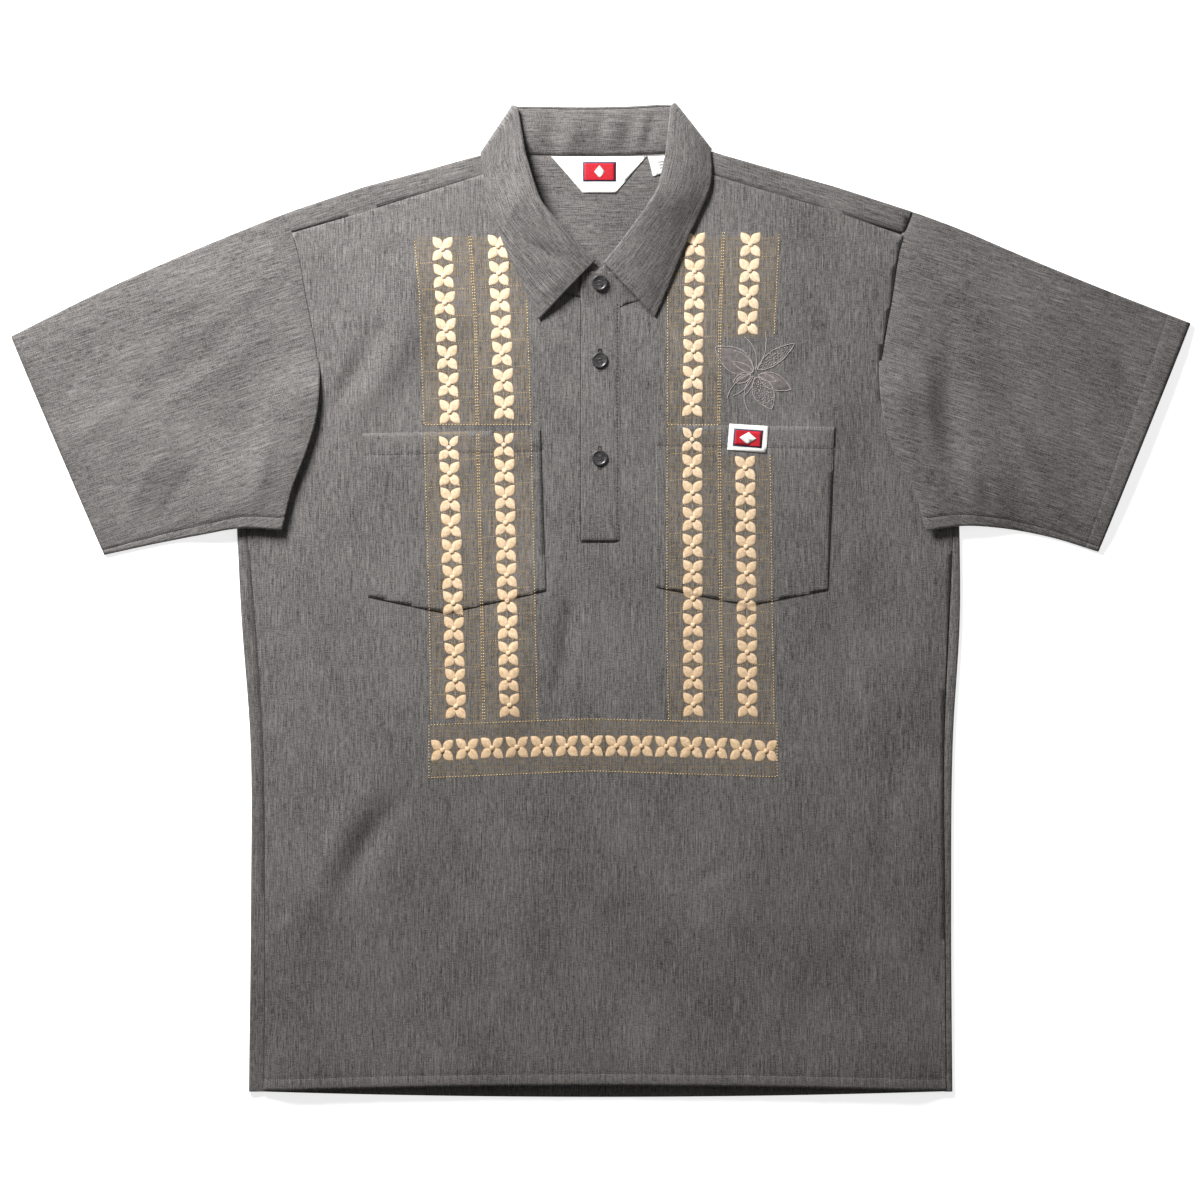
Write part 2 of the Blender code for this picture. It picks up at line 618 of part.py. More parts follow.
def sleeve_plan(side, u, v):
    """A point of the sleeve laid flat: u from armhole to hem, v from upper to lower fold."""
    top = Vector(read(SLEEVES, "along", f"{side}_top", u))
    bottom = Vector(read(SLEEVES, "along", f"{side}_bottom", u))
    first = Vector(getattr(SLEEVES[0], f"{side}_top"))
    straight = first.lerp(Vector(getattr(SLEEVES[0], f"{side}_bottom")), v)
    armhole = Vector((armhole_x(side, straight.y) + outward(side) * SEAM_GAP / 2, straight.y))
    return top.lerp(bottom, v) + (armhole - straight) * (1 - u) ** 2


def sleeve_ring(side, u, across):
    """One closed ring of the sleeve, its upper layer first."""
    top, bottom = sleeve_plan(side, u, 0), sleeve_plan(side, u, 1)
    inset = FOLD_REACH / (bottom - top).length
    upper, lower = [], []
    for i in range(across + 1):
        point = sleeve_plan(side, u, inset + (1 - 2 * inset) * i / across)
        low = LOW_LAYER + sleeve_lift(side, point.x, point.y)
        upper.append((point.x, point.y, low + 2 * FOLD_RADIUS))
        lower.append((point.x, point.y, low))
    down = (bottom - top).normalized()
    ring = list(upper)
    for ends, direction in (((upper[-1], lower[-1]), down), ((lower[0], upper[0]), -down)):
        middle = (Vector(ends[0]) + Vector(ends[1])) / 2
        arm = (Vector(ends[0]) - Vector(ends[1])) / 2
        for turn in (45, 90, 135):
            angle = math.radians(turn)
            reach = Vector((*direction, 0)) * FOLD_RADIUS * math.sin(angle)
            ring.append(tuple(middle + arm * math.cos(angle) + reach))
        if ends[0] == upper[-1]:
            ring += lower[::-1]
    return ring


def make_sleeve(side, parent):
    rings = [sleeve_ring(side, u, SLEEVE_FACES_ACROSS) for u in SLEEVE_STATIONS]
    sheet = strip(rings, closed=True)
    bmesh.ops.recalc_face_normals(sheet, faces=sheet.faces)
    return thicken(finish(f"sleeve_{side}", sheet, "cloth", parent))


# ---- placket, pockets and labels ----


def make_flat_piece(name, outline, z_of, kind, parent, cuts=None):
    sheet = cut_sheet(outline, grid_cuts(outline) if cuts is None else cuts)
    shape(sheet, lambda x, y: (x, y, z_of(x, y)))
    return thicken(finish(name, sheet, kind, parent))


def above_front(layers):
    """The height of the layer of cloth that lies so many layers above the front."""
    return lambda x, y: front_z(x, y) + layers * (CLOTH + SEAM_GAP)


def on_yoke(x, y):
    return LOW_LAYER + neck_rise(x, y) + CLOTH + SEAM_GAP


def make_placket(parent):
    half = UNDER_BAND_HALF_WIDTH
    low, high = SLOT_BOTTOM + SEAM_GAP, PLACKET_TOP
    under = ((-half, low), (half, low), (half, high), (-half, high))
    make_flat_piece("placket_under", under, above_front(0), "cloth", parent)
    top = (
        (PLACKET_LEFT, PLACKET_BOTTOM),
        (PLACKET_RIGHT, PLACKET_BOTTOM),
        (PLACKET_RIGHT, PLACKET_TOP + 0.2),
        (PLACKET_LEFT, PLACKET_TOP + 0.2),
    )
    make_flat_piece("placket_top", top, above_front(1), "cloth", parent)


def make_pockets_and_labels(parent):
    make_flat_piece("pocket_right", POCKET_RIGHT, above_front(1), "cloth", parent)
    make_flat_piece("pocket_left", POCKET_LEFT, above_front(1), "cloth", parent)
    make_flat_piece("pocket_label", POCKET_LABEL, above_front(2), "label", parent)
    levels = [((0, y), (0, 1)) for y in (NECK_RISE_FROM + NECK_RISE_LENGTH,)]
    make_flat_piece("neck_label", NECK_LABEL, on_yoke, "label", parent, levels)
    make_flat_piece("size_label", SIZE_LABEL, on_yoke, "label", parent, levels)


# ---- collar ----


def collar_stations():
    """Each station round the collar: seam, stand's top, roll's middle, edge, and the way
    from the stand to the leaf. They run from the right front over the back to the left."""
    Station = namedtuple("Station", "seam top roll edge off")
    up = Vector((0, 0, 1))

    def front(side):
        rows = []
        for angle in neck_angles():

            def column(name):
                return read(COLLAR_FRONT, "neck", name, angle)

            x, y = neckline(angle * outward(side))
            lap = STAND_OVERLAP * max(1 - angle / STAND_LAP_ENDS, 0.0) if side == "left" else 0.0
            seam = Vector((x, y + SEAM_GAP, HIGH_LAYER + neck_rise(x, y) + lap))
            roll = Vector((*column(f"{side}_roll"), column("roll_z") + lap))
            edge = Vector((*column(f"{side}_edge"), column("edge_z")))
            rows.append(Station(seam, roll - up * ROLL_RADIUS, roll, edge, up))
        return rows

    def corner(side):
        axes = CORNER_RIGHT if side == "right" else CORNER_LEFT
        roll, edge = Vector(axes.roll), Vector(axes.edge)
        seam_x = axes.seam_x - outward(side) * 2 * SEAM_GAP
        rows = []
        for turn in (0, 36, 72, 108, 144, 180):
            angle = math.radians(turn)
            seam = Vector(fold_shoulder(seam_x, (math.pi - angle) * FOLD_RADIUS))
            seam.y += SEAM_GAP * turn / 180
            off = []
            for start in (seam, edge):
                run = (roll - start).to_2d().normalized().to_3d()
                away = Vector((-run.y, run.x, 0)) * (1 if side == "right" else -1)
                off.append(up * math.cos(angle) + away * math.sin(angle))
            stand, leaf = off
            clear = run * LEAF_CLEARS_YOKE * math.sin(angle)
            middle = roll + leaf * (LEAF_FOLD_AT_ROLL - ROLL_RADIUS)
            rows.append(
                Station(
                    seam,
                    roll + stand * STAND_FOLD_RADIUS,
                    middle,
                    edge + leaf * LEAF_FOLD_AT_EDGE + clear,
                    leaf,
                )
            )
        return rows

    back = []
    for row in COLLAR_BACK:
        seam = Vector((*row.seam, LOW_LAYER + NECK_RISE))
        roll = Vector((*row.roll, LOW_LAYER + ROLL_RADIUS))
        edge = Vector((*row.edge, LOW_LAYER))
        back.append(Station(seam, roll + up * ROLL_RADIUS, roll, edge, -up))
    right = front("right") + corner("right")
    left = front("left") + corner("left")
    return right + back + left[::-1]


def stand_ends():
    """The sections of the stand's two rounded ends, from the free end inwards."""
    ends = []
    for table, lap in ((STAND_END_RIGHT, 0.0), (STAND_END_LEFT, STAND_OVERLAP)):
        sections = []
        for row in table:
            seam = (*row.seam, HIGH_LAYER + lap)
            sections.append(points_between(seam, (*row.top, row.top_z), 3))
        ends.append(sections)
    return ends


def make_stand(parent):
    right_end, left_end = stand_ends()
    sections = []
    for station in collar_stations():
        way = (station.seam - station.top).normalized() * SEAM_GAP
        sections.append(points_between(tuple(station.seam), tuple(station.top + way), 3))
    sheet = strip(right_end + sections + left_end[::-1])
    return thicken(finish("collar_stand", sheet, "cloth", parent))


def make_leaf(parent):
    sections = []
    for station in collar_stations():
        run = (station.edge - station.roll).to_2d().normalized()
        inward = Vector((-run.x, -run.y, 0))
        section = []
        for turn in (0, 45, 90, 135, 180):
            angle = math.radians(turn)
            arm = inward * math.sin(angle) - station.off * math.cos(angle)
            section.append(tuple(station.roll + arm * ROLL_RADIUS))
        section += points_between(section[-1], tuple(station.edge), 4)[1:]
        sections.append(section)
    return thicken(finish("collar_leaf", strip(sections), "cloth", parent))


# ---- buttons ----


def turned_button(name):
    """A four-hole button with a raised rim, its underside at z = 0."""
    radius = BUTTON_DIAMETER / 2
    profile = [
        (0.001, BUTTON_THICKNESS - BUTTON_DISH),
        (radius - BUTTON_RIM - 0.6, BUTTON_THICKNESS - BUTTON_DISH),
        (radius - BUTTON_RIM, BUTTON_THICKNESS),
        (radius - 0.5, BUTTON_THICKNESS),
        (radius, BUTTON_THICKNESS - 0.6),
        (radius, 0.7),
        (radius - 0.9, 0.0),
        (0.001, 0.0),
    ]
    body = bmesh.new()
    ring = [body.verts.new((r * MM, 0, z * MM)) for r, z in profile]
    edges = [body.edges.new(pair) for pair in zip(ring, ring[1:])]
    bmesh.ops.spin(
        body,
        geom=ring + edges,
        axis=(0, 0, 1),
        cent=(0, 0, 0),
        angle=math.tau,
        steps=BUTTON_SEGMENTS,
        use_merge=True,
    )
    bmesh.ops.remove_doubles(body, verts=body.verts, dist=2e-6)
    bmesh.ops.recalc_face_normals(body, faces=body.faces)
    mesh = bpy.data.meshes.new(name)
    body.to_mesh(mesh)
    body.free()
    return mesh


def hole_cutter():
    """Four pins that cut the buttons' holes."""
    pins = bmesh.new()
    for i in range(4):
        turn = math.radians(45 + 90 * i)
        reach = BUTTON_HOLE_PITCH / math.sqrt(2)
        place = Matrix.Translation(Vector((math.cos(turn), math.sin(turn), 0)) * reach * MM)
        bmesh.ops.create_cone(
            pins,
            cap_ends=True,
            segments=10,
            radius1=BUTTON_HOLE / 2 * MM,
            radius2=BUTTON_HOLE / 2 * MM,
            depth=4 * BUTTON_THICKNESS * MM,
            matrix=place,
        )
    mesh = bpy.data.meshes.new("hole_cutter")
    pins.to_mesh(mesh)
    pins.free()
    return mesh


def make_button(name, place, tilt, parent):
    """A button at a place in millimetres, tipped round X, with its own hole cutter."""
    obj = bpy.data.objects.new(name, turned_button(name))
    cutter = bpy.data.objects.new(f"{name}_holes", hole_cutter())
    for item in (obj, cutter):
        bpy.context.scene.collection.objects.link(item)
        item.parent = parent
        item.location = Vector(place) * MM
        item.rotation_euler = (tilt, 0, 0)
    cutter.hide_render = True
    cutter.display_type = "WIRE"
    holes = obj.modifiers.new("holes", "BOOLEAN")
    holes.object = cutter
    holes.operation = "DIFFERENCE"
    paint(obj, "button")
    obj.data.shade_smooth()
    obj.data.set_sharp_from_angle(angle=math.radians(35))


def make_buttons(parent):
    x, y = BUTTON_ON_STAND
    end, near = STAND_END_LEFT[-1], COLLAR_FRONT[0]
    seam_z = HIGH_LAYER + STAND_OVERLAP
    top_y = (end.top[1] + near.left_roll[1]) / 2
    top_z = (end.top_z + near.roll_z - ROLL_RADIUS + STAND_OVERLAP) / 2
    tilt = math.atan2(top_z - seam_z, top_y - PLACKET_TOP)
    z = seam_z + (y - PLACKET_TOP) * math.tan(tilt)
    make_button("button_1", (x, y, z + CLOTH / 2 + 2 * SEAM_GAP), tilt, parent)
    for i, (x, y) in enumerate(BUTTONS_ON_BAND):
        z = above_front(1)(x, y) + CLOTH / 2 + SEAM_GAP
        make_button(f"button_{i + 2}", (x, y, z), 0.0, parent)


def main():
    for obj in list(bpy.data.objects):
        bpy.data.objects.remove(obj, do_unlink=True)
    shirt = bpy.data.objects.new("shirt", None)
    bpy.context.scene.collection.objects.link(shirt)
    make_back(shirt)
    make_front(shirt)
    make_yoke(shirt)
    for side in ("right", "left"):
        make_sleeve(side, shirt)
    make_stand(shirt)
    make_leaf(shirt)
    make_placket(shirt)
    make_pockets_and_labels(shirt)
    make_buttons(shirt)


main()
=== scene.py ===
# A barong style pullover shirt in grey chambray, laid flat and face up on a pale table. Lengths are in
# millimetres until a mesh is made. The wearer's right side is at -X, and the hem is at -Y.
import math

import bmesh
import bpy
import numpy as np
from mathutils import Matrix, Vector


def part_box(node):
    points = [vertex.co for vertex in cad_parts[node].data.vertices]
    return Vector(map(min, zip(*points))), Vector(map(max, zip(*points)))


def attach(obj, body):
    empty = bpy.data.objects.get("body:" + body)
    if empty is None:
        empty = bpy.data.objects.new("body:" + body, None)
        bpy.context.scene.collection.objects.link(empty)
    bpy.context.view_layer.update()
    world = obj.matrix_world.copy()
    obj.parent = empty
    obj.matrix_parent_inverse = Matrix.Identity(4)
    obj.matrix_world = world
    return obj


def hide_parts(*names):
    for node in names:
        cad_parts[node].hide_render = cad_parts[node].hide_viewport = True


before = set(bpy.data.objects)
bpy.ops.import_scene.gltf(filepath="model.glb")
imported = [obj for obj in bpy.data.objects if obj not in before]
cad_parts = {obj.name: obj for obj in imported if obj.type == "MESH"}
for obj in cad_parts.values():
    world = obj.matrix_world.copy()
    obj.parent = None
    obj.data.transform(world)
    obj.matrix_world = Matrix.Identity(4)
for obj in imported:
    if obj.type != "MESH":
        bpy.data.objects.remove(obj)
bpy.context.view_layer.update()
mm = 0.001
outward = {"right": -1, "left": 1}


# Small helpers


def smooth(t):  # 0 below 0, 1 above 1
    t = np.clip(t, 0.0, 1.0)
    return t * t * (3 - 2 * t)


def curveAt(keys, values, at):  # a smooth curve through a table's points
    keys, values = np.asarray(keys, float), np.asarray(values, float)
    at = np.clip(np.asarray(at, float), keys[0], keys[-1])
    slopes = np.gradient(values, keys)
    i = np.clip(np.searchsorted(keys, at, side="right") - 1, 0, len(keys) - 2)
    gap = keys[i + 1] - keys[i]
    t = (at - keys[i]) / gap
    start = (2 * t**3 - 3 * t**2 + 1) * values[i] + (t**3 - 2 * t**2 + t) * gap * slopes[i]
    return start + (3 * t**2 - 2 * t**3) * values[i + 1] + (t**3 - t**2) * gap * slopes[i + 1]


def dense(points, step):  # a path with a point about every step, corners kept
    points = np.asarray(points, float)
    path = [points[0]]
    for a, b in zip(points, points[1:]):
        count = max(1, round(float(np.linalg.norm(b - a)) / step))
        path += [a + (b - a) * i / count for i in range(1, count + 1)]
    return np.array(path)


def spaced(points, pitch):  # points at an even pitch along a path, with the way it runs
    points = np.asarray(points, float)
    lengths = np.linalg.norm(np.diff(points, axis=0), axis=1)
    reach = np.concatenate([[0], np.cumsum(lengths)])
    count = max(2, int(reach[-1] / pitch))
    at = (np.arange(count) + 0.5) * reach[-1] / count
    places = np.stack([np.interp(at, reach, points[:, k]) for k in range(points.shape[1])], 1)
    i = np.clip(np.searchsorted(reach, at) - 1, 0, len(lengths) - 1)
    run = points[i + 1] - points[i]
    return places, np.arctan2(run[:, 1], run[:, 0])


def insideBy(corners, x, y):  # how far a point is inside a convex outline, below 0 outside it
    corners = np.asarray(corners, float)
    centre = corners.mean(0)
    reach = np.full(np.shape(x), 1e9)
    for a, b in zip(corners, np.roll(corners, -1, 0)):
        normal = np.array([b[1] - a[1], a[0] - b[0]]) / np.linalg.norm(b - a)
        side = np.sign((centre - a) @ normal)
        reach = np.minimum(reach, ((x - a[0]) * normal[0] + (y - a[1]) * normal[1]) * side)
    return reach


# The shirt's cut and how it lies

shirt = {
    "wall": 0.8,
    "tableLayer": 0.4,  # middle of the cloth that lies on the table
    "upperLayer": 3.4,  # middle of the cloth above it
    "foldRadius": 1.5,
    "seamGap": 0.3,
    "layerStep": 0.95,  # from one layer of cloth to the one sewn on it
    "tuck": 1.6,  # how far a seam's under side runs below its upper side
    "underarmY": 66.0,
    "sideY": (-398, -250, -110, -10, 66),
    "rightFold": (-281.6, -280.0, -280.5, -287.8, -291.5),
    "rightSeam": (-270.0, -269.3, -271.0, -277.5, -284.0),
    "leftSeam": (276.0, 275.0, 274.0, 278.0, 281.5),
    "leftFold": (281.0, 280.0, 281.4, 287.0, 286.5),
    "armholeY": (57, 90, 114, 144, 180, 240, 295, 308),
    "rightArmhole": (-255.5, -247.2, -237.9, -228.6, -226.0, -235.5, -248.0, -254.0),
    "leftArmhole": (260.0, 250.5, 237.2, 227.2, 223.4, 231.5, 242.9, 249.0),
    "shoulderX": (-262, -191.4, -97.8, -84, 76, 89.6, 187.6, 258),
    "shoulderFold": (306.0, 329.8, 355.2, 358.6, 361.0, 358.0, 330.4, 307.6),
    "shoulderSeam": (291.5, 309.6, 339.2, 343.7, 343.7, 339.6, 310.6, 290.0),
    "hemY": -392.8,
    "hemDropBack": 4.6,
    "hemRiseFront": 5.2,
    "halfHem": 281.0,
    "hemStitch": 10.0,
    "neckCentre": (-4.0, 344.5),
    "neckHalfWidth": 83.0,
    "neckDepth": 104.0,
    "neckRise": 1.5,  # the cloth lies this much higher beside the collar
    "neckRiseFrom": 322.0,
    "neckRiseHalf": 130.0,
    "tuckTop": 160.0,  # below this the sleeve lies over the body's side
    "underarmBend": (13.0, 98.0),
    "yokeSeamBack": 250.0,
    "slotHalf": 13.5,  # the cut in the front that the placket closes
    "slotBottom": 50.0,
    "slotTop": 240.8,
}

# Soft ridges and troughs of the front. Angle in degrees, bend is how far its ends curve off.
frontFolds = {
    "x": (-172, -72, -196, 172, 120, -197, -168, -27, -40, -185, -207, -186, -176, -168, -196,
          220, 213, 89, 84, 196, 205, 150, -150, -228, -110, 60, 176, -60, 20, 232, -236, 146),
    "y": (214, -62, -172, 70, -210, 182, 190, -24, -30, -196, -186, 120, 105, 90, 80,
          112, 128, -218, -210, -60, 30, -300, -310, -60, 226, 232, 232, -250, -300, -150, 40, 190),
    "angle": (58, 76, 62, 100, 70, 60, 62, 84, 86, 61, 64, -52, -44, -58, 40,
              62, 78, 31, 34, 96, 84, 76, 100, 88, 62, 104, 112, 82, 96, 88, 80, 78),
    "halfLength": (95, 100, 130, 120, 150, 58, 64, 60, 66, 54, 62, 15, 17, 12, 16,
                   15, 13, 14, 15, 90, 60, 70, 60, 70, 46, 40, 44, 90, 60, 80, 60, 50),
    "halfWidth": (42, 40, 60, 55, 70, 13, 12, 8, 12, 15, 14, 4.5, 5, 4, 4,
                  7, 5.5, 4.2, 5, 16, 14, 22, 24, 14, 13, 12, 12, 26, 22, 15, 12, 12),
    "height": (6.0, 4.2, 5.2, 3.0, 3.4, -6.0, 1.4, -2.8, 1.8, -5.4, 2.2, -2.2, 1.6, -1.6, 1.2,
               -2.2, 1.4, -1.5, 0.9, -1.9, 1.4, 1.5, -1.6, 1.4, 0.9, 0.9, -0.9, 1.5, -1.3, -1.3, 1.3, 0.9),
    "bend": (8, -5, 10, 6, -6, 5, 5, 3, 3, -6, -5, 2, -2, 1, 1,
             2, 2, 2, 2, 5, -4, 6, -6, 4, 3, -3, 3, 6, 5, 4, -4, 3),
}
# Short puckers where the side seams draw the cloth in, and ripples along the hem.
frontPuckers = {
    "x": (-258, -262, -255, -260, 262, 258, 264, 260, -229, -180, -128, -92, -41, 14, 66, 117, 171, 224),
    "y": (-250, -266, -300, -205, -224, -260, -285, -328,
          -376, -372, -378, -374, -379, -373, -377, -374, -378, -372),
    "angle": (6, -4, 8, 3, -6, 5, -3, 7, 86, 97, 90, 84, 93, 98, 88, 95, 85, 92),
    "halfLength": (15, 12, 17, 13, 14, 12, 16, 13, 24, 30, 20, 26, 22, 30, 22, 27, 21, 28),
    "halfWidth": (3.6, 3.2, 4.0, 3.4, 3.6, 3.2, 4.0, 3.4, 6, 8, 5.5, 7, 6, 9, 6, 7.5, 6, 8),
    "height": (-1.0, 0.9, -1.1, 0.8, -0.9, 0.9, -1.0, 0.8,
               0.8, -0.8, 0.7, -0.7, 0.8, -0.9, 0.7, -0.7, 0.8, -0.8),
    "bend": (1, 0, -1, 1, 0, -1, 1, 0, 2, -2, 1, -1, 2, -2, 1, -1, 2, -2),
}


def foldHeight(folds, x, y):  # how far all the folds of a table lift a point
    x, y = np.asarray(x, float), np.asarray(y, float)
    lift = np.zeros(np.broadcast(x, y).shape)
    for i, turn in enumerate(np.radians(folds["angle"])):
        dx, dy = x - folds["x"][i], y - folds["y"][i]
        along = (dx * math.cos(turn) + dy * math.sin(turn)) / folds["halfLength"][i]
        off = dy * math.cos(turn) - dx * math.sin(turn) - folds["bend"][i] * (along**2 - 0.3)
        across = np.abs(off) / (folds["halfWidth"][i] * (1 + 0.3 * np.clip(along, -1, 1)))
        lift = lift + folds["height"][i] * np.exp(-2 * across**1.8 - 2 * along**2)
    return lift


def sideX(side, part, y):
    return curveAt(shirt["sideY"], shirt[side + part], y)


def armholeX(side, y):
    return curveAt(shirt["armholeY"], shirt[side + "Armhole"], y)


def shoulderY(part, x):
    return np.interp(x, shirt["shoulderX"], shirt["shoulder" + part])


def neckRise(x, y):
    up = np.clip((y - shirt["neckRiseFrom"]) / 18, 0, 1)
    beside = np.clip((shirt["neckRiseHalf"] - np.abs(x - shirt["neckCentre"][0])) / 30, 0, 1)
    return shirt["neckRise"] * up * beside


def hemShift(x, y, change):  # the hem's curve, fading out up the body
    return change * (1 - np.minimum(np.abs(x) / shirt["halfHem"], 1) ** 2) * smooth((-300 - y) / 90)


relief = {  # how the front's folds die out towards its seams, in mm
    "floor": -1.6,  # no fold sinks the front further, so that it stays off the back
    "puff": 1.3,  # the air between front and back
    "hemLift": 3.0,
    "hemFade": 90.0,
    "widestHalf": 246.0,
    "sideFade": 30.0,
    "puckerFade": 7.0,
    "underarm": (262.0, 96.0),
    "underarmFade": 60.0,
    "neckRing": 124.0,
    "neckFade": 36.0,
    "shoulderFade": 26.0,
}


def frontRelief(x, y):
    x, y = np.asarray(x, float), np.asarray(y, float)
    armhole = np.minimum(np.abs(armholeX("right", np.maximum(y, shirt["tuckTop"]))), relief["widestHalf"])
    half = np.where(y > shirt["underarmY"], armhole, np.abs(sideX("right", "Seam", y)))
    side = smooth((half + 4 - np.abs(x)) / relief["sideFade"])
    edge = smooth((half - 1 - np.abs(x)) / relief["puckerFade"])
    armX, armY = relief["underarm"]
    underSleeve = smooth(np.hypot(np.abs(x) - armX, y - armY) / relief["underarmFade"] - 0.6)
    placket = 1 - smooth(1.8 - np.abs(x) / 30) * smooth((y - shirt["slotBottom"]) / 50)
    neckX, neckY = shirt["neckCentre"]
    neck = smooth((np.hypot(x - neckX, y - neckY) - relief["neckRing"]) / relief["neckFade"])
    shoulder = smooth((shoulderY("Seam", x) - 3 - y) / relief["shoulderFade"])
    clear = neck * shoulder * underSleeve
    folds = foldHeight(frontFolds, x, y) * side * placket * clear
    lift = relief["hemLift"] * smooth((shirt["hemY"] + relief["hemFade"] - y) / relief["hemFade"]) * side
    puff = relief["puff"] * side * clear
    return np.maximum(folds + puff, relief["floor"]) + lift + foldHeight(frontPuckers, x, y) * edge


def frontMiddle(x, y):  # the middle of the front's wall
    return shirt["upperLayer"] + neckRise(x, y) + frontRelief(x, y)


pockets = {
    "right": ((-190.4, 133.1), (-48.4, 135.7), (-44.0, 7.2), (-124.0, -10.8), (-186.0, 2.5)),
    "left": ((43.5, 140.3), (186.6, 138.1), (181.0, 7.9), (117.6, -4.5), (44.1, 10.2)),
    "hemStitch": 17.0,
}


def topOfFront(x, y):  # the highest cloth of the front and its pockets, for what is sewn on it
    lift = np.zeros(np.shape(x))
    for side in outward:
        lift = np.maximum(lift, smooth(insideBy(pockets[side], x, y) / 1.2 + 0.5))
    return frontMiddle(x, y) + shirt["wall"] / 2 + shirt["layerStep"] * lift


# Sheets, copies and pieces


def panelSheet(outline, cell):  # a flat panel, scored by a grid so that it can bend
    sheet = bmesh.new()
    face = sheet.faces.new([sheet.verts.new((x, y, 0)) for x, y in outline])
    face.normal_update()
    if face.normal.z < 0:
        face.normal_flip()
    for axis in (0, 1):
        values = [point[axis] for point in outline]
        for i in range(math.ceil(min(values) / cell), math.floor(max(values) / cell) + 1):
            score(sheet, axis, i * cell)
    return sheet


def score(sheet, axis, place, faces=None):
    plane = [(1, 0, 0), (0, 1, 0)][axis]
    bisect(sheet, Vector(plane) * place, plane, faces)


def bisect(sheet, place, normal, faces=None):
    if faces is None:
        geom = sheet.verts[:] + sheet.edges[:] + sheet.faces[:]
    else:
        edges = {edge for face in faces for edge in face.edges}
        geom = list({vert for face in faces for vert in face.verts}) + list(edges) + list(faces)
    bmesh.ops.bisect_plane(sheet, geom=geom, dist=0.02, plane_co=place, plane_no=normal)


def cutSize(sheet):  # width, length and area of a flat panel, in metres
    points = np.array([vert.co for vert in sheet.verts])
    size = np.ptp(points, axis=0) * mm
    return float(size[0]), float(size[1]), sum(face.calc_area() for face in sheet.faces) * mm * mm


def laySheet(sheet, place, turn=0.0):  # stores the weave's place, then moves the panel to where it lies
    weave = sheet.loops.layers.uv.new("weave")
    c, s = math.cos(turn) * mm, math.sin(turn) * mm
    for face in sheet.faces:
        for loop in face.loops:
            x, y = loop.vert.co.xy
            loop[weave].uv = (x * c + y * s, y * c - x * s)
    points = np.array([vert.co for vert in sheet.verts])
    moved = np.stack(np.broadcast_arrays(*place(points[:, 0], points[:, 1])), 1)
    for vert, point in zip(sheet.verts, moved):
        vert.co = point
    return sheet


def gridSheet(points, cloth, closed=False):  # a sheet through rows of points, its weave read from cloth
    rows, columns = points.shape[:2]
    sheet = bmesh.new()
    bmesh.ops.create_grid(sheet, x_segments=columns - 1, y_segments=rows - 1, size=0.5)
    spot = [(round((v.co.y + 0.5) * (rows - 1)), round((v.co.x + 0.5) * (columns - 1))) for v in sheet.verts]
    sheet.verts.index_update()
    weave = sheet.loops.layers.uv.new("weave")
    for face in sheet.faces:
        for loop in face.loops:
            loop[weave].uv = cloth[spot[loop.vert.index]] * mm
    for vert, place in zip(sheet.verts, spot):
        vert.co = points[place]
    if closed:
        bmesh.ops.remove_doubles(sheet, verts=sheet.verts, dist=0.01)
    return sheet


def gridSize(points):  # width, length and area of a sheet through rows of points, in metres
    rows = np.linalg.norm(np.diff(points, axis=1), axis=2).sum(1).max()
    columns = np.linalg.norm(np.diff(points, axis=0), axis=2).sum(0).max()
    a, b = np.diff(points, axis=1)[:-1], np.diff(points, axis=0)[:, :-1]
    area = np.linalg.norm(np.cross(a, b), axis=2).sum()
    return float(rows * mm), float(columns * mm), float(area * mm * mm)


def finished(mesh, materials):  # the mesh as an object of its own name, shaded and clothed
    mesh.shade_smooth()
    for material in materials:
        mesh.materials.append(material)
    piece = bpy.data.objects.new(mesh.name, mesh)
    bpy.context.scene.collection.objects.link(piece)
    return piece


def makePiece(name, sheet, materials, wall=0.0):
    bmesh.ops.scale(sheet, vec=(mm, mm, mm), verts=sheet.verts)
    mesh = bpy.data.meshes.new(name)
    sheet.to_mesh(mesh)
    sheet.free()
    piece = finished(mesh, materials)
    if wall:
        shell = piece.modifiers.new("wall", "SOLIDIFY")
        shell.thickness = wall * mm
        shell.offset = 0.0
        shell.use_even_offset = True
    return piece


def copies(name, template, materials, places, angles, sizes, drape=None):
    # Many small copies of one shape as a single mesh. drape gives the height of the cloth under a point.
    template.verts.index_update()
    shape = np.array([vert.co for vert in template.verts])
    faces = [[vert.index for vert in face.verts] for face in template.faces]
    kinds = [face.material_index for face in template.faces]
    layer = template.loops.layers.uv.active
    corners = [tuple(loop[layer].uv) if layer else (0, 0) for face in template.faces for loop in face.loops]
    template.free()
    places, angles = np.asarray(places, float), np.asarray(angles, float)
    c, s = np.cos(angles)[:, None], np.sin(angles)[:, None]
    body = shape[None] * np.broadcast_to(np.asarray(sizes, float), (len(places), 3))[:, None]
    x = body[..., 0] * c - body[..., 1] * s + places[:, 0:1]
    y = body[..., 0] * s + body[..., 1] * c + places[:, 1:2]
    z = body[..., 2] + (drape(x, y) if drape else places[:, 2:3])
    mesh = bpy.data.meshes.new(name)
    count = len(shape)
    joined = [[i + n * count for i in face] for n in range(len(places)) for face in faces]
    mesh.from_pydata(np.stack([x, y, z], 2).reshape(-1, 3) * mm, [], joined)
    mesh.polygons.foreach_set("material_index", kinds * len(places))
    mesh.uv_layers.new(name="weave").data.foreach_set("uv", np.tile(np.array(corners).ravel(), len(places)))
    return finished(mesh, materials)


def grain():  # one stitch, a little rounded bar of length, width and height 1
    template = bmesh.new()
    bmesh.ops.create_icosphere(template, subdivisions=1, radius=0.5)
    return template


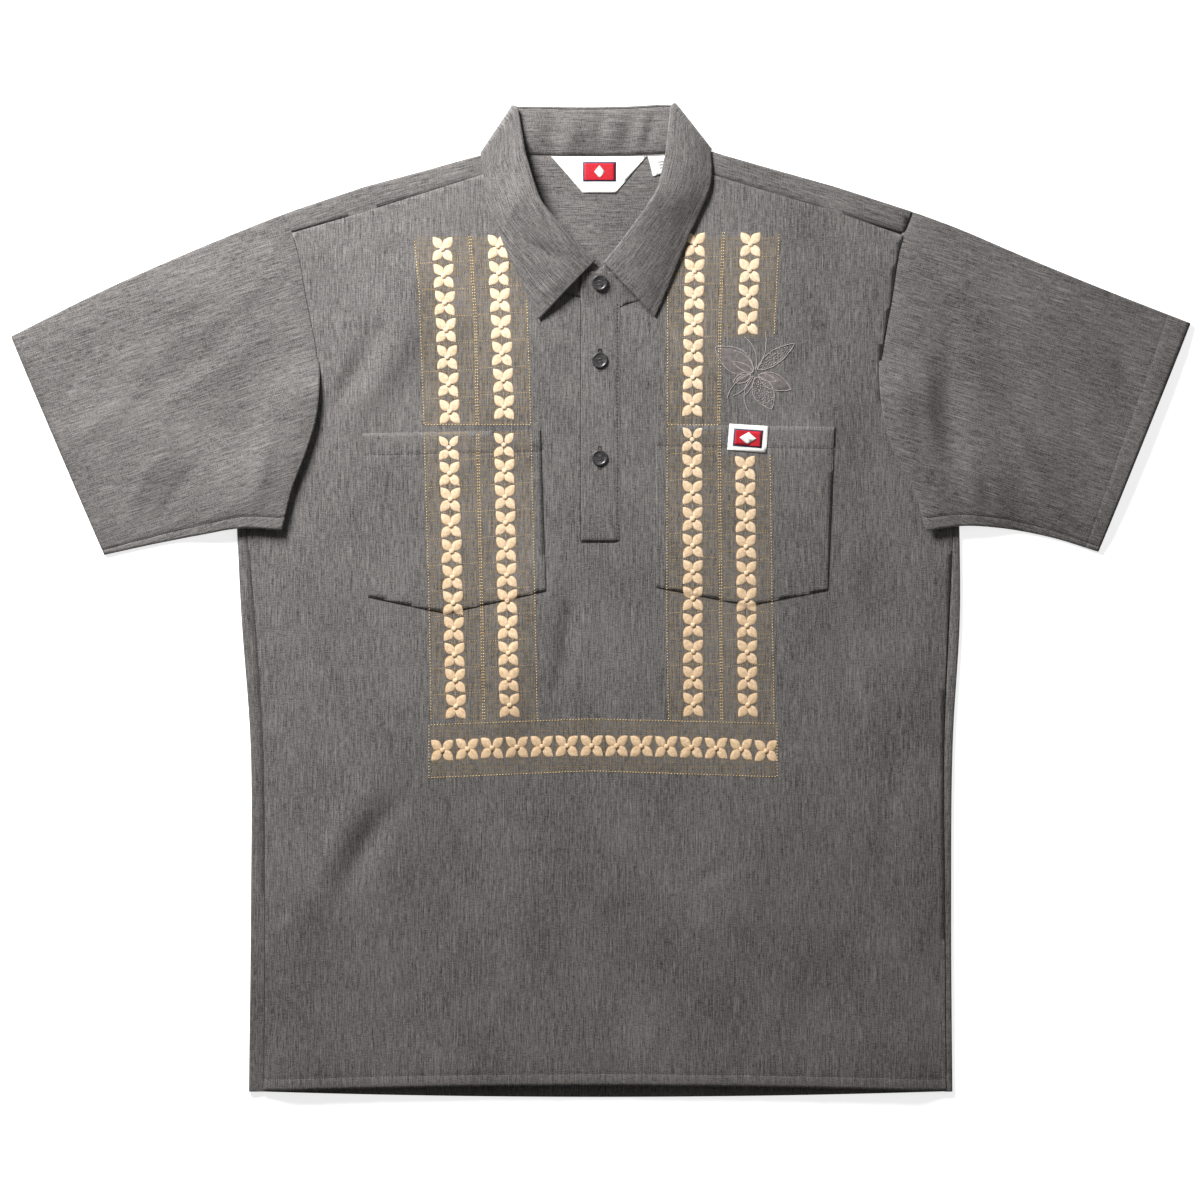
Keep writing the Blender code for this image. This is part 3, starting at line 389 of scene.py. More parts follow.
def declare(piece, nodes=(), cut=None, withPieces=()):
    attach(piece, "root")
    if nodes:
        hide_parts(*nodes)
    if cut:
        print(f"  {piece.name}: cut {cut[0]:.3f} x {cut[1]:.3f} m, {cut[2]:.4f} m2")
        list(withPieces)


# Materials


def colour(code):  # an sRGB hex code as linear light
    values = [int(code[i : i + 2], 16) / 255 for i in (1, 3, 5)]
    return (*[v / 12.92 if v <= 0.04045 else ((v + 0.055) / 1.055) ** 2.4 for v in values], 1.0)


def addNode(tree, kind, inputs, output=0, **settings):  # an input takes a value, or the socket feeding it
    node = tree.nodes.new(kind)
    for key, value in settings.items():
        setattr(node, key, value)
    for key, value in inputs.items():
        if isinstance(value, bpy.types.NodeSocket):
            tree.links.new(value, node.inputs[key])
        else:
            node.inputs[key].default_value = value
    return node.outputs[output]


def newMaterial(name, roughness, sheen=0.0, specular=0.5):
    material = bpy.data.materials.new(name)
    material.use_nodes = True
    shader = material.node_tree.nodes["Principled BSDF"]
    shader.inputs["Roughness"].default_value = roughness
    shader.inputs["Specular IOR Level"].default_value = specular
    shader.inputs["Sheen Weight"].default_value = sheen
    shader.inputs["Sheen Roughness"].default_value = 0.5
    return material, material.node_tree, shader


def streaks(tree, place, wide, long, detail=1.0):  # noise drawn out into streaks of this size in mm
    vector = addNode(tree, "ShaderNodeMapping", {"Vector": place, "Scale": (1 / wide / mm, 1 / long / mm, 1)})
    inputs = {"Vector": vector, "Scale": 1.0, "Detail": detail, "Roughness": 0.6}
    return addNode(tree, "ShaderNodeTexNoise", inputs)


chambray = {
    "darkThread": "#2A2928",
    "lightThread": "#7E7A78",
    "slubThread": "#9C958F",
    # how wide and long each kind of streak is, and how much it lightens the cloth
    "streaks": ((0.8, 26.0, 1.1), (0.85, 6.0, 1.0), (5.0, 0.85, 0.75), (0.7, 0.8, 1.35), (70.0, 90.0, 0.45)),
    "level": -1.82,
    "slub": (1.2, 22.0),
    "darnThread": "#8F7747",
    "darnRow": 4.1,
    "darnStitch": 1.65,
    "darnPatch": (6.0, 6.0),
    "darnBase": 0.07,
    "darnGain": 0.8,
    "roughness": 0.86,
}


def makeChambray(name, darned=False):
    # Grey cotton chambray, yarn dyed and plain woven with slubbed threads: dark and pale threads streak
    # it lengthwise. The real threads are 0.25 mm apart, too fine to show, so they are drawn near 1 mm.
    material, tree, shader = newMaterial(name, chambray["roughness"], sheen=0.2, specular=0.25)
    place = addNode(tree, "ShaderNodeUVMap", {}, uv_map="weave")
    level, height = chambray["level"], 0.0
    for wide, long, gain in chambray["streaks"]:
        noise = streaks(tree, place, wide, long)
        level = addNode(tree, "ShaderNodeMath", {0: noise, 1: gain, 2: level}, operation="MULTIPLY_ADD")
        if wide < 10:
            height = addNode(tree, "ShaderNodeMath", {0: noise, 1: height}, operation="ADD")
    threads = {0: level, 6: colour(chambray["darkThread"]), 7: colour(chambray["lightThread"])}
    tint = addNode(tree, "ShaderNodeMix", threads, 2, data_type="RGBA")
    slub = addNode(tree, "ShaderNodeMapRange", {0: streaks(tree, place, *chambray["slub"]), 1: 0.58, 2: 1.1})
    tint = addNode(tree, "ShaderNodeMix", {0: slub, 6: tint, 7: colour(chambray["slubThread"])}, 2,
                   data_type="RGBA")
    if darned:  # fine broken rows of darning dot the ground of the embroidered panels
        darn = chambray["darnBase"]
        for rows, dots in ((0, 1), (1, 0)):
            lines = []
            for axis, pitch, thin in ((rows, chambray["darnRow"], 0.36), (dots, chambray["darnStitch"], 0.2)):
                along = addNode(tree, "ShaderNodeSeparateXYZ", {0: place}, axis)
                count = addNode(tree, "ShaderNodeMath", {0: along, 1: 1 / pitch / mm}, operation="MULTIPLY")
                fold = addNode(tree, "ShaderNodeMath", {0: count, 1: 0.5}, operation="PINGPONG")
                lines.append(addNode(tree, "ShaderNodeMapRange", {0: fold, 1: thin, 2: thin + 0.1}))
            spots = addNode(tree, "ShaderNodeMath", {0: lines[0], 1: lines[1]}, operation="MULTIPLY")
            patchy = streaks(tree, place, *chambray["darnPatch"])
            broken = addNode(tree, "ShaderNodeMapRange", {0: patchy, 1: 0.38, 2: 0.62})
            spots = addNode(tree, "ShaderNodeMath", {0: spots, 1: broken}, operation="MULTIPLY")
            darn = addNode(tree, "ShaderNodeMath", {0: spots, 1: chambray["darnGain"], 2: darn},
                           operation="MULTIPLY_ADD")
        tint = addNode(tree, "ShaderNodeMix", {0: darn, 6: tint, 7: colour(chambray["darnThread"])}, 2,
                       data_type="RGBA")
    tree.links.new(tint, shader.inputs["Base Color"])
    bump = addNode(tree, "ShaderNodeBump", {"Height": height, "Strength": 0.35, "Distance": 0.0004})
    tree.links.new(bump, shader.inputs["Normal"])
    return material


def makeThread(name, codes, pitch, roughness=0.5, sheen=0.15, slant=0.6):
    # Mercerised cotton thread, laid side by side in satin stitch: a soft shine that changes along each
    # thread. Its threads are 0.35 mm apart and are drawn at pitch mm so that they show.
    material, tree, shader = newMaterial(name, roughness, sheen, 0.45)
    weave = addNode(tree, "ShaderNodeUVMap", {}, uv_map="weave")
    across = addNode(tree, "ShaderNodeSeparateXYZ", {0: weave})
    along = addNode(tree, "ShaderNodeSeparateXYZ", {0: weave}, 1)
    across = addNode(tree, "ShaderNodeMath", {0: across}, operation="ABSOLUTE")
    lay = addNode(tree, "ShaderNodeMath", {0: across, 1: slant, 2: along}, operation="MULTIPLY_ADD")
    turns = addNode(tree, "ShaderNodeMath", {0: lay, 1: math.tau / pitch}, operation="MULTIPLY")
    wave = addNode(tree, "ShaderNodeMath", {0: turns}, operation="SINE")
    place = addNode(tree, "ShaderNodeTexCoord", {}, "Object")
    shade = addNode(tree, "ShaderNodeMapRange", {0: streaks(tree, place, 2.6, 2.6), 1: 0.27, 2: 0.73})
    level = addNode(tree, "ShaderNodeMath", {0: wave, 1: 0.16, 2: shade}, operation="MULTIPLY_ADD")
    tints = [addNode(tree, "ShaderNodeMix", {0: level, 6: colour(low), 7: colour(high)}, 2, data_type="RGBA")
             for low, high in zip(codes[::2], codes[1::2])]
    if len(tints) > 1:  # painted light: the thread is paler towards the top of the shirt, where the key light falls, and darker and warmer towards the hem
        height = addNode(tree, "ShaderNodeSeparateXYZ", {0: place}, 1)
        up = addNode(tree, "ShaderNodeMapRange", {0: height, 1: -0.10, 2: 0.24})
        tints[0] = addNode(tree, "ShaderNodeMix", {0: up, 6: tints[0], 7: tints[1]}, 2, data_type="RGBA")
    tree.links.new(tints[0], shader.inputs["Base Color"])
    bump = addNode(tree, "ShaderNodeBump", {"Height": wave, "Strength": 0.4, "Distance": 0.0003})
    tree.links.new(bump, shader.inputs["Normal"])
    return material


def makeLabelCloth(name, code, shade):
    # Polyester label ribbon, close satin woven: smooth, with a faint fine rib.
    material, tree, shader = newMaterial(name, 0.5, sheen=0.1, specular=0.4)
    place = addNode(tree, "ShaderNodeTexCoord", {}, "Object")
    rib = streaks(tree, place, 5.0, 0.7)
    level = addNode(tree, "ShaderNodeMapRange", {0: rib, 1: 0.25, 2: 0.75})
    tint = addNode(tree, "ShaderNodeMix", {0: level, 6: colour(code), 7: colour(shade)}, 2, data_type="RGBA")
    tree.links.new(tint, shader.inputs["Base Color"])
    bump = addNode(tree, "ShaderNodeBump", {"Height": rib, "Strength": 0.25, "Distance": 0.0002})
    tree.links.new(bump, shader.inputs["Normal"])
    return material


def makeResin(name, code, shade):
    # Cast polyester resin buttons, turned and tumbled: dark grey, faintly clouded, with a soft gloss.
    material, tree, shader = newMaterial(name, 0.32, specular=0.5)
    place = addNode(tree, "ShaderNodeTexCoord", {}, "Object")
    cloud = streaks(tree, place, 4.0, 2.0, 3.0)
    level = addNode(tree, "ShaderNodeMapRange", {0: cloud, 1: 0.3, 2: 0.7})
    tint = addNode(tree, "ShaderNodeMix", {0: level, 6: colour(code), 7: colour(shade)}, 2, data_type="RGBA")
    tree.links.new(tint, shader.inputs["Base Color"])
    gloss = addNode(tree, "ShaderNodeMapRange", {0: cloud, 3: 0.24, 4: 0.42})
    tree.links.new(gloss, shader.inputs["Roughness"])
    return material


cloth = makeChambray("chambrayWovenSlubCotton")
darnedCloth = makeChambray("chambrayDarnedPanelGround", darned=True)
# the second pair of codes is painted light: the paler tint the thread takes towards the top of the shirt
creamThread = makeThread("creamMercerisedSatinStitch", ("#D0AD84", "#EACDA8", "#D7B993", "#F0DABD"), 0.9)
petalRimTan = makeThread("tanPetalRim", ("#8A6A45", "#AE8D60"), 0.7)
goldThread = makeThread("goldRunningStitchThread", ("#B08C50", "#ECD19A"), 0.7)
mauveThread = makeThread("mauveGreyOutlineThread", ("#857B79", "#B3A9A6"), 0.8)
mauveFill = makeThread("mauveGreySatinStitch", ("#565150", "#77706E"), 0.8)
sewingThread = makeThread("greySpunSewingThread", ("#3A3836", "#6E6966"), 0.6, roughness=0.7)
# dark grey thread of the buttonholes, also used for painted shade laid along the seams and beside the placket
buttonholeThreadAndSeamShade = makeThread("darkGreyButtonholeThreadAndPaintedSeamShade", ("#131312", "#2C2A29"), 0.6, roughness=0.7)
labelWhite = makeLabelCloth("labelRibbonWhite", "#F1F0EC", "#DEDCD6")
labelRed = makeLabelCloth("labelRibbonRed", "#C41327", "#A40E1F")
labelNavy = makeLabelCloth("labelRibbonNavy", "#1C2340", "#2B3356")
labelGrey = makeLabelCloth("labelRibbonPrintGrey", "#8A8884", "#74726E")
buttonResin = makeResin("buttonCastResin", "#242324", "#4B4949")
print("materials made")


# Body


def underarmScoop(side, count, end=0.9):  # from the armhole down and out under the sleeve
    start = np.array([float(armholeX(side, shirt["tuckTop"])), shirt["tuckTop"]])
    bend = np.array([start[0] + outward[side] * shirt["underarmBend"][0], shirt["underarmBend"][1]])
    last = np.array([float(sideX(side, "Fold", shirt["underarmY"])), shirt["underarmY"]])
    t = np.linspace(0, end, count)[:, None]
    return (1 - t) ** 2 * start + 2 * t * (1 - t) * bend + t**2 * last


def sideSeam(side, top, count=90):
    y = np.linspace(shirt["hemY"], top, count)
    return np.stack([sideX(side, "Seam", y), y], 1)


def armholeEdge(side, top, end=0.9):  # from the underarm up to a height
    y = np.linspace(shirt["tuckTop"], top, 28)[1:]
    return np.concatenate([underarmScoop(side, 18, end)[::-1], np.stack([armholeX(side, y), y], 1)])


def neckline(degrees):
    turn = np.radians(degrees)
    x, y = shirt["neckCentre"]
    return np.stack([x + shirt["neckHalfWidth"] * np.sin(turn), y - shirt["neckDepth"] * np.cos(turn)], -1)


panelEdges = {  # the gold stitched lines beside the embroidered columns, from the top down
    "rightOuter": ((-148.8, 287.2), (-144.8, 244.8), (-141.2, 139.2), (-136.8, -16), (-135.6, -97.6)),
    "rightMiddle": ((-104.8, 291.2), (-100, 222.4), (-98.8, 143.2), (-95.2, -8), (-93.4, -95.2)),
    "rightInner": ((-59.2, 240), (-56, 143.2), (-52.5, -8), (-50.7, -96.8)),
    "leftInner": ((53.3, 250.4), (53, 146.4), (52.6, -8), (53.9, -95.2)),
    "leftMiddle": ((97.9, 294.4), (94.9, 216), (94.2, 146.4), (95.8, -8), (96.2, -97.6)),
    "leftOuter": ((142.4, 292.8), (138.3, 209.6), (135, 116), (136.7, -8), (138.4, -95.2)),
    "bandTop": ((-136.3, -99.7), (-9.8, -95), (141.2, -98.7)),
    "bandBottom": ((-138.4, -141.9), (-7.8, -136.5), (140.2, -141.1)),
}
panelEnds = {
    "top": 292.0,
    "upper": 140.0,  # the upper columns stop at the pockets' tops, and the lower ones start there
    "lower": {"right": 132.8, "left": 137.6},
    "bottom": -97.0,
    "bandRight": -137.0,
    "bandLeft": 140.6,
    "cornerTop": 212.0,  # the corner that is left plain for the sprig
    "cornerBottom": 116.0,
}


def edgeX(name, y):
    points = panelEdges[name][::-1]
    return np.interp(y, [p[1] for p in points], [p[0] for p in points])


def edgeY(name, x):
    points = panelEdges[name]
    return np.interp(x, [p[0] for p in points], [p[1] for p in points])


def inPanels(x, y):  # whether a point is on the darned ground
    ends = panelEnds
    rows = (y < ends["top"]) & (y > ends["bottom"])
    right = (x > edgeX("rightOuter", y)) & (x < edgeX("rightInner", y)) & rows
    left = (x > edgeX("leftInner", y)) & (x < edgeX("leftOuter", y)) & rows
    sprig = (x > edgeX("leftMiddle", y)) & (y < ends["cornerTop"]) & (y > ends["cornerBottom"])
    band = (y < edgeY("bandTop", x)) & (y > edgeY("bandBottom", x))
    band &= (x > ends["bandRight"]) & (x < ends["bandLeft"])
    gap = (y < ends["upper"]) & (y > np.where(x < 0, ends["lower"]["right"], ends["lower"]["left"]))
    return ((right | (left & ~sprig)) & ~gap) | band


def markPanels(sheet):  # cuts the sheet along the panels' edges, then gives the ground its own cloth
    for points in panelEdges.values():
        for a, b in zip(np.array(points), np.array(points[1:])):
            run = (b - a) / np.linalg.norm(b - a)
            low, high = -4, float(np.linalg.norm(b - a)) + 4
            near = []
            for face in sheet.faces:
                offset = np.array(face.calc_center_median().xy) - a
                if low < offset @ run < high and abs(offset[0] * run[1] - offset[1] * run[0]) < 7:
                    near.append(face)
            if near:
                bisect(sheet, (*a, 0), (-run[1], run[0], 0), near)
    middles = np.array([face.calc_center_median().xy for face in sheet.faces])
    for face, inside in zip(sheet.faces, inPanels(middles[:, 0], middles[:, 1])):
        face.material_index = int(inside)


def makeFront():
    gap = shirt["seamGap"]
    slotHalf, slotBottom, slotTop = shirt["slotHalf"], shirt["slotBottom"], shirt["slotTop"]
    halves = []
    for side, seamTop, outer, inner in (("left", 291.2, 186, 80.5), ("right", 293.2, -190, -84.5)):
        sign = outward[side]
        seam = np.concatenate([sideSeam(side, shirt["underarmY"] + 0.6), armholeEdge(side, seamTop)])
        seam[:, 0] -= sign * gap / 2
        x = np.linspace(outer, inner, 24)
        top = np.stack([x, shoulderY("Seam", x) - gap], 1)
        neck = neckline(sign * np.linspace(88.5, 10.2, 40)) + (sign * gap / 2, -gap / 2)
        halves.append(np.concatenate([seam, top, neck]))
    slot = [(slotHalf, slotTop), (slotHalf, slotBottom), (-slotHalf, slotBottom), (-slotHalf, slotTop)]
    hem = [(x, shirt["hemY"]) for x in range(-260, 261, 10)]
    outline = np.concatenate([hem, halves[0], slot, halves[1][::-1]])
    sheet = panelSheet(outline, 5.0)
    for offset in (-0.9, 0.0, 0.9):
        score(sheet, 1, shirt["hemY"] + shirt["hemStitch"] + offset)
    cut = cutSize(sheet)
    markPanels(sheet)

    def place(x, y):
        lift = -0.3 * np.exp(-(((y - shirt["hemY"] - shirt["hemStitch"]) / 0.9) ** 2))
        welt = 0.35 * smooth((shirt["hemY"] + shirt["hemStitch"] - 0.5 - y) / 1.5)
        yLaid = y + hemShift(x, y, shirt["hemRiseFront"])
        return x, yLaid, frontMiddle(x, yLaid) + lift + welt

    return makePiece("frontPanel", laySheet(sheet, place), [cloth, darnedCloth], shirt["wall"]), cut


backFolds = {  # low ripples where the back lifts off the table
    "x": (-160, -60, 70, 180, 20, -210, 220),
    "y": (120, -40, 60, -120, -260, -220, 160),
    "angle": (70, 84, 98, 76, 88, 64, 112),
    "halfLength": (120, 140, 110, 130, 90, 100, 80),
    "halfWidth": (18, 22, 20, 16, 24, 20, 15),
    "height": (0.8, 0.7, 0.8, 0.7, 0.6, 0.8, 0.7),
    "bend": (8, -6, 6, -8, 4, 5, -4),
}


def foldSide(a, y):  # the back's cloth: flat on the table, round the side fold, and up to the seam
    radius, reach = shirt["foldRadius"], shirt["foldRadius"] + shirt["wall"] / 2
    half = shirt["halfHem"]
    sign = np.sign(a)
    fold = np.where(a < 0, sideX("right", "Fold", y), sideX("left", "Fold", y))
    seam = np.where(a < 0, sideX("right", "Seam", y), sideX("left", "Seam", y))
    axis = fold - sign * reach
    past = np.abs(a) - half
    turn = np.clip(past / radius, 0, math.pi)
    flap = np.maximum(past - math.pi * radius, 0)
    x = np.where(past <= 0, axis * np.abs(a) / half, axis + sign * radius * np.sin(turn) - sign * flap)
    tucked = smooth((flap - np.abs(axis - seam) + 0.9) / 1.3)
    ripple = foldHeight(backFolds, x, y) * smooth(-past / 30)
    z = shirt["tableLayer"] + radius * (1 - np.cos(turn)) - shirt["layerStep"] * tucked + ripple
    return x, y + hemShift(x, y, -shirt["hemDropBack"]) * (past <= 0), z


def makeBack():
    gap, radius = shirt["seamGap"], shirt["foldRadius"]
    half, halfTurn = shirt["halfHem"], math.pi * shirt["foldRadius"]
    outline = [(x, shirt["hemY"]) for x in range(-280, 281, 10)]
    for side, order in (("left", 1), ("right", -1)):
        sign = outward[side]
        seam = sideSeam(side, 65.0)
        reach = np.abs(sideX(side, "Fold", seam[:, 1]) - sign * (radius + shirt["wall"] / 2) - seam[:, 0])
        flap = np.stack([sign * (half + halfTurn + reach + shirt["tuck"]), seam[:, 1]], 1)
        edge = [(sign * (half + halfTurn), 65.4), (sign * half, shirt["underarmY"])]
        scoop = armholeEdge(side, shirt["yokeSeamBack"], 0.97)
        axis = sideX(side, "Fold", scoop[:, 1]) - sign * (radius + shirt["wall"] / 2)
        scoop = np.stack([half * np.abs(scoop[:, 0] / axis) * sign - sign * gap / 2, scoop[:, 1]], 1)
        outline += [tuple(point) for point in np.concatenate([flap, edge, scoop])[::order]]
    sheet = panelSheet(outline, 8.0)
    for i in range(9):
        for sign in (-1, 1):
            score(sheet, 0, sign * (half + halfTurn * i / 8))
    cut = cutSize(sheet)
    return makePiece("backPanel", laySheet(sheet, foldSide), [cloth], shirt["wall"]), cut


def foldShoulder(x, b):  # the yoke's cloth: b runs up to the shoulder's fold, round it, and down in front
    radius = shirt["foldRadius"]
    axis = shoulderY("Fold", x) - radius - shirt["wall"] / 2
    turn = np.clip(b / radius, 0, math.pi)
    flap = np.maximum(b - math.pi * radius, 0)
    y = axis + np.minimum(b, 0) + radius * np.sin(turn) - flap
    tucked = smooth((flap - (axis - shoulderY("Seam", x)) + 0.9) / 1.3)
    z = shirt["tableLayer"] + radius * (1 - np.cos(turn)) + neckRise(x, np.minimum(y, axis))
    return x, y, z - shirt["layerStep"] * tucked


collar = {
    # round the front neckline in degrees, from the centre to the shoulder
    "neck": (1.5, 22, 40, 57, 72, 86),
    "rightRollX": (-5.6, -15.8, -32.6, -48.4, -55.0, -62.0),
    "rightRollY": (269.2, 278.2, 296.8, 315.6, 332.0, 356.0),
    "leftRollX": (3.2, 16.4, 27.4, 38.6, 47.4, 53.4),
    "leftRollY": (267.6, 283.2, 298.2, 314.0, 330.4, 356.2),
    "rollZ": (10.4, 13.0, 15.8, 17.0, 15.0, 10.8),
    "rightEdgeX": (-49.4, -59.5, -71.5, -84.0, -91.5, -94.5),
    "rightEdgeY": (223.8, 246.0, 270.0, 299.5, 320.5, 342.0),
    "leftEdgeX": (43.0, 53.5, 65.5, 78.0, 87.0, 88.6),
    "leftEdgeY": (226.0, 250.0, 279.5, 307.5, 329.5, 345.0),
    "edgeZ": (5.2, 5.6, 6.1, 6.6, 7.0, 7.0),
    # where the neck seam crosses the shoulder's fold, and the axes of the turn at roll and edge
    "rightCorner": (-82.0, (-67.6, 390.4, 5.0), (-95.2, 353.4, 3.5)),
    "leftCorner": (74.0, (56.6, 391.8, 5.0), (87.4, 356.6, 3.5)),
    "cornerRise": 2.4,  # how far the turn climbs up to the back roll
    "leafFoldAtRoll": 4.5,
    "leafFoldAtEdge": 3.0,
    "clearsYoke": 2.2,
    # across the back, from the wearer's right
    "backSeam": ((-61.0, 355.8), (-28.0, 355.2), (-1.0, 355.0), (24.0, 355.6), (51.0, 357.0)),
    "backRoll": ((-55.0, 392.9), (-26.0, 392.2), (0.0, 392.2), (24.0, 392.8), (46.0, 394.2)),
    "backEdge": ((-82.0, 344.0), (-42.0, 343.0), (-3.0, 342.6), (36.0, 343.0), (74.0, 345.0)),
    "rollRadius": 1.5,
    "leafWall": 1.1,
    "topstitch": 5.0,
    "backFrom": 345.0,  # from this height up the stand shows its inside
    "lapEnds": 48.5,  # degrees round the neckline where the stand's two ends are level again
    "lap": 1.3,
}


def makeYoke():
    gap, radius, halfTurn = shirt["seamGap"], shirt["foldRadius"], math.pi * shirt["foldRadius"]
    low = shirt["yokeSeamBack"] + gap

    def unrolled(points, front=False):
        points = np.asarray(points, float)
        axis = shoulderY("Fold", points[:, 0]) - radius - shirt["wall"] / 2
        b = axis - points[:, 1] + halfTurn if front else points[:, 1] - axis
        return np.stack([points[:, 0], b], 1)

    outline = []
    for side, order in (("left", 1), ("right", -1)):
        sign = outward[side]
        x = np.linspace(0.0 if sign > 0 else -4.0, sign * 231, 30)
        seat = unrolled(np.stack([x, np.full(30, low)], 1))
        y = np.linspace(low, 302.0, 14)
        back = unrolled(np.stack([armholeX(side, y) - sign * gap / 2, y], 1))
        top = float(armholeX(side, 306.5)) - sign * gap / 2
        turn = [(top, 0.0), (top, halfTurn)]
        outer = float(armholeX(side, 293.6)) - sign * gap / 2
        x = np.linspace(outer, shirt["neckCentre"][0] + sign * (shirt["neckHalfWidth"] - 0.3), 40)
        front = unrolled(np.stack([x, shoulderY("Seam", x) - shirt["tuck"]], 1), front=True)
        seamX = collar[side + "Corner"][0]
        neck = [(seamX, halfTurn), (seamX, 0.0)]
        points = collar["backSeam"][:3] if side == "right" else collar["backSeam"][:2:-1]
        rest = unrolled([(px, py - gap) for px, py in points])
        outline += [tuple(p) for p in np.concatenate([seat, back, turn, front, neck, rest])[::order]]
    sheet = panelSheet(outline, 6.0)
    for i in range(9):
        score(sheet, 1, halfTurn * i / 8)
    cut = cutSize(sheet)
    return makePiece("yokePanel", laySheet(sheet, foldShoulder, math.pi / 2), [cloth], shirt["wall"]), cut


# Sleeves

sleeves = {
    "length": 236.0,
    "along": (0.0, 0.15, 0.40, 0.70, 1.0),
    "rightTopX": (-254.4, -286.5, -340.5, -406.5, -471.6),
    "rightTopY": (308.8, 296.0, 273.4, 243.6, 210.8),
    "rightBottomX": (-255.5, -282.0, -318.5, -358.0, -396.8),
    "rightBottomY": (55.5, 57.2, 52.0, 44.5, 36.0),
    "leftTopX": (249.0, 282.0, 338.0, 405.0, 471.2),
    "leftTopY": (310.6, 298.4, 274.6, 247.2, 221.4),
    "leftBottomX": (260.5, 283.0, 318.0, 359.0, 397.4),
    "leftBottomY": (55.0, 58.6, 57.5, 50.2, 38.5),
    "lift": 8.0,
    "hemStitch": 19.0,
    "hemRow": -7,  # the row of points the hem's stitches follow
    "mouth": 2.2,  # how far the upper layer stands off the lower one at the hem
    "underarmSeam": 7.0,
}
sleeveFolds = {
    "right": {
        "x": (-300, -345, -390, -332, -362, -285, -300, -420, -270, -318, -352),
        "y": (190, 176, 150, 96, 100, 246, 70, 180, 112, 232, 66),
        "angle": (40, 34, 36, 54, 62, 30, 20, 62, 82, 24, 30),
        "halfLength": (56, 70, 50, 34, 36, 50, 30, 40, 58, 60, 26),
        "halfWidth": (14, 18, 12, 9, 11, 12, 8, 10, 13, 11, 7),
        "height": (2.4, -2.4, 1.8, -3.0, 2.4, 1.6, 1.3, -1.4, 4.6, -2.0, -1.2),
        "bend": (6, -8, 5, 4, -4, 4, 3, 4, 3, 5, 2),
    },
    "left": {
        "x": (300, 350, 395, 336, 368, 288, 306, 418, 281, 356, 262),
        "y": (190, 180, 130, 120, 96, 246, 90, 183, 152, 232, 150),
        "angle": (-78, -48, -70, -60, -50, -30, -76, -68, -86, -24, -84),
        "halfLength": (60, 60, 48, 50, 40, 40, 30, 38, 78, 50, 60),
        "halfWidth": (12, 15, 12, 12, 10, 12, 8, 11, 13, 12, 9),
        "height": (1.2, 1.6, 1.5, 1.6, -1.5, 1.1, -1.9, -2.0, -3.2, 0.9, 2.0),
        "bend": (-6, 8, -5, -6, 4, -4, -3, -4, 5, -5, 3),
    },
}


def sleevePlan(side, u, v):  # u from armhole to hem, v from the upper to the lower fold
    def column(name):
        return curveAt(sleeves["along"], sleeves[side + name], u)

    x = column("TopX") * (1 - v) + column("BottomX") * v
    y = column("TopY") * (1 - v) + column("BottomY") * v
    first = [sleeves[side + name][0] for name in ("TopX", "TopY", "BottomX", "BottomY")]
    seamY = first[1] + (first[3] - first[1]) * v
    straight = first[0] + (first[2] - first[0]) * v
    seamX = armholeX(side, seamY) + outward[side] * shirt["seamGap"] / 2
    return x + (seamX - straight) * (1 - u) ** 2, y


def sleeveLift(side, x, y):  # how far the sleeve is held up where the body's side lies under it
    fold = sideX(side, "Fold", shirt["underarmY"])
    half = np.abs(fold - armholeX(side, shirt["tuckTop"]))
    inside = (fold - x) * outward[side]
    down = np.maximum(shirt["tuckTop"] - y, 0) / (shirt["tuckTop"] - shirt["underarmY"])
    reach = np.hypot(np.maximum(inside, 0) / half, down)
    lift = sleeves["lift"] * smooth((reach - 0.2) / 0.6) * (1 - smooth((y - shirt["tuckTop"]) / 40))
    return lift * (1 - smooth((-inside - 4) / 50))


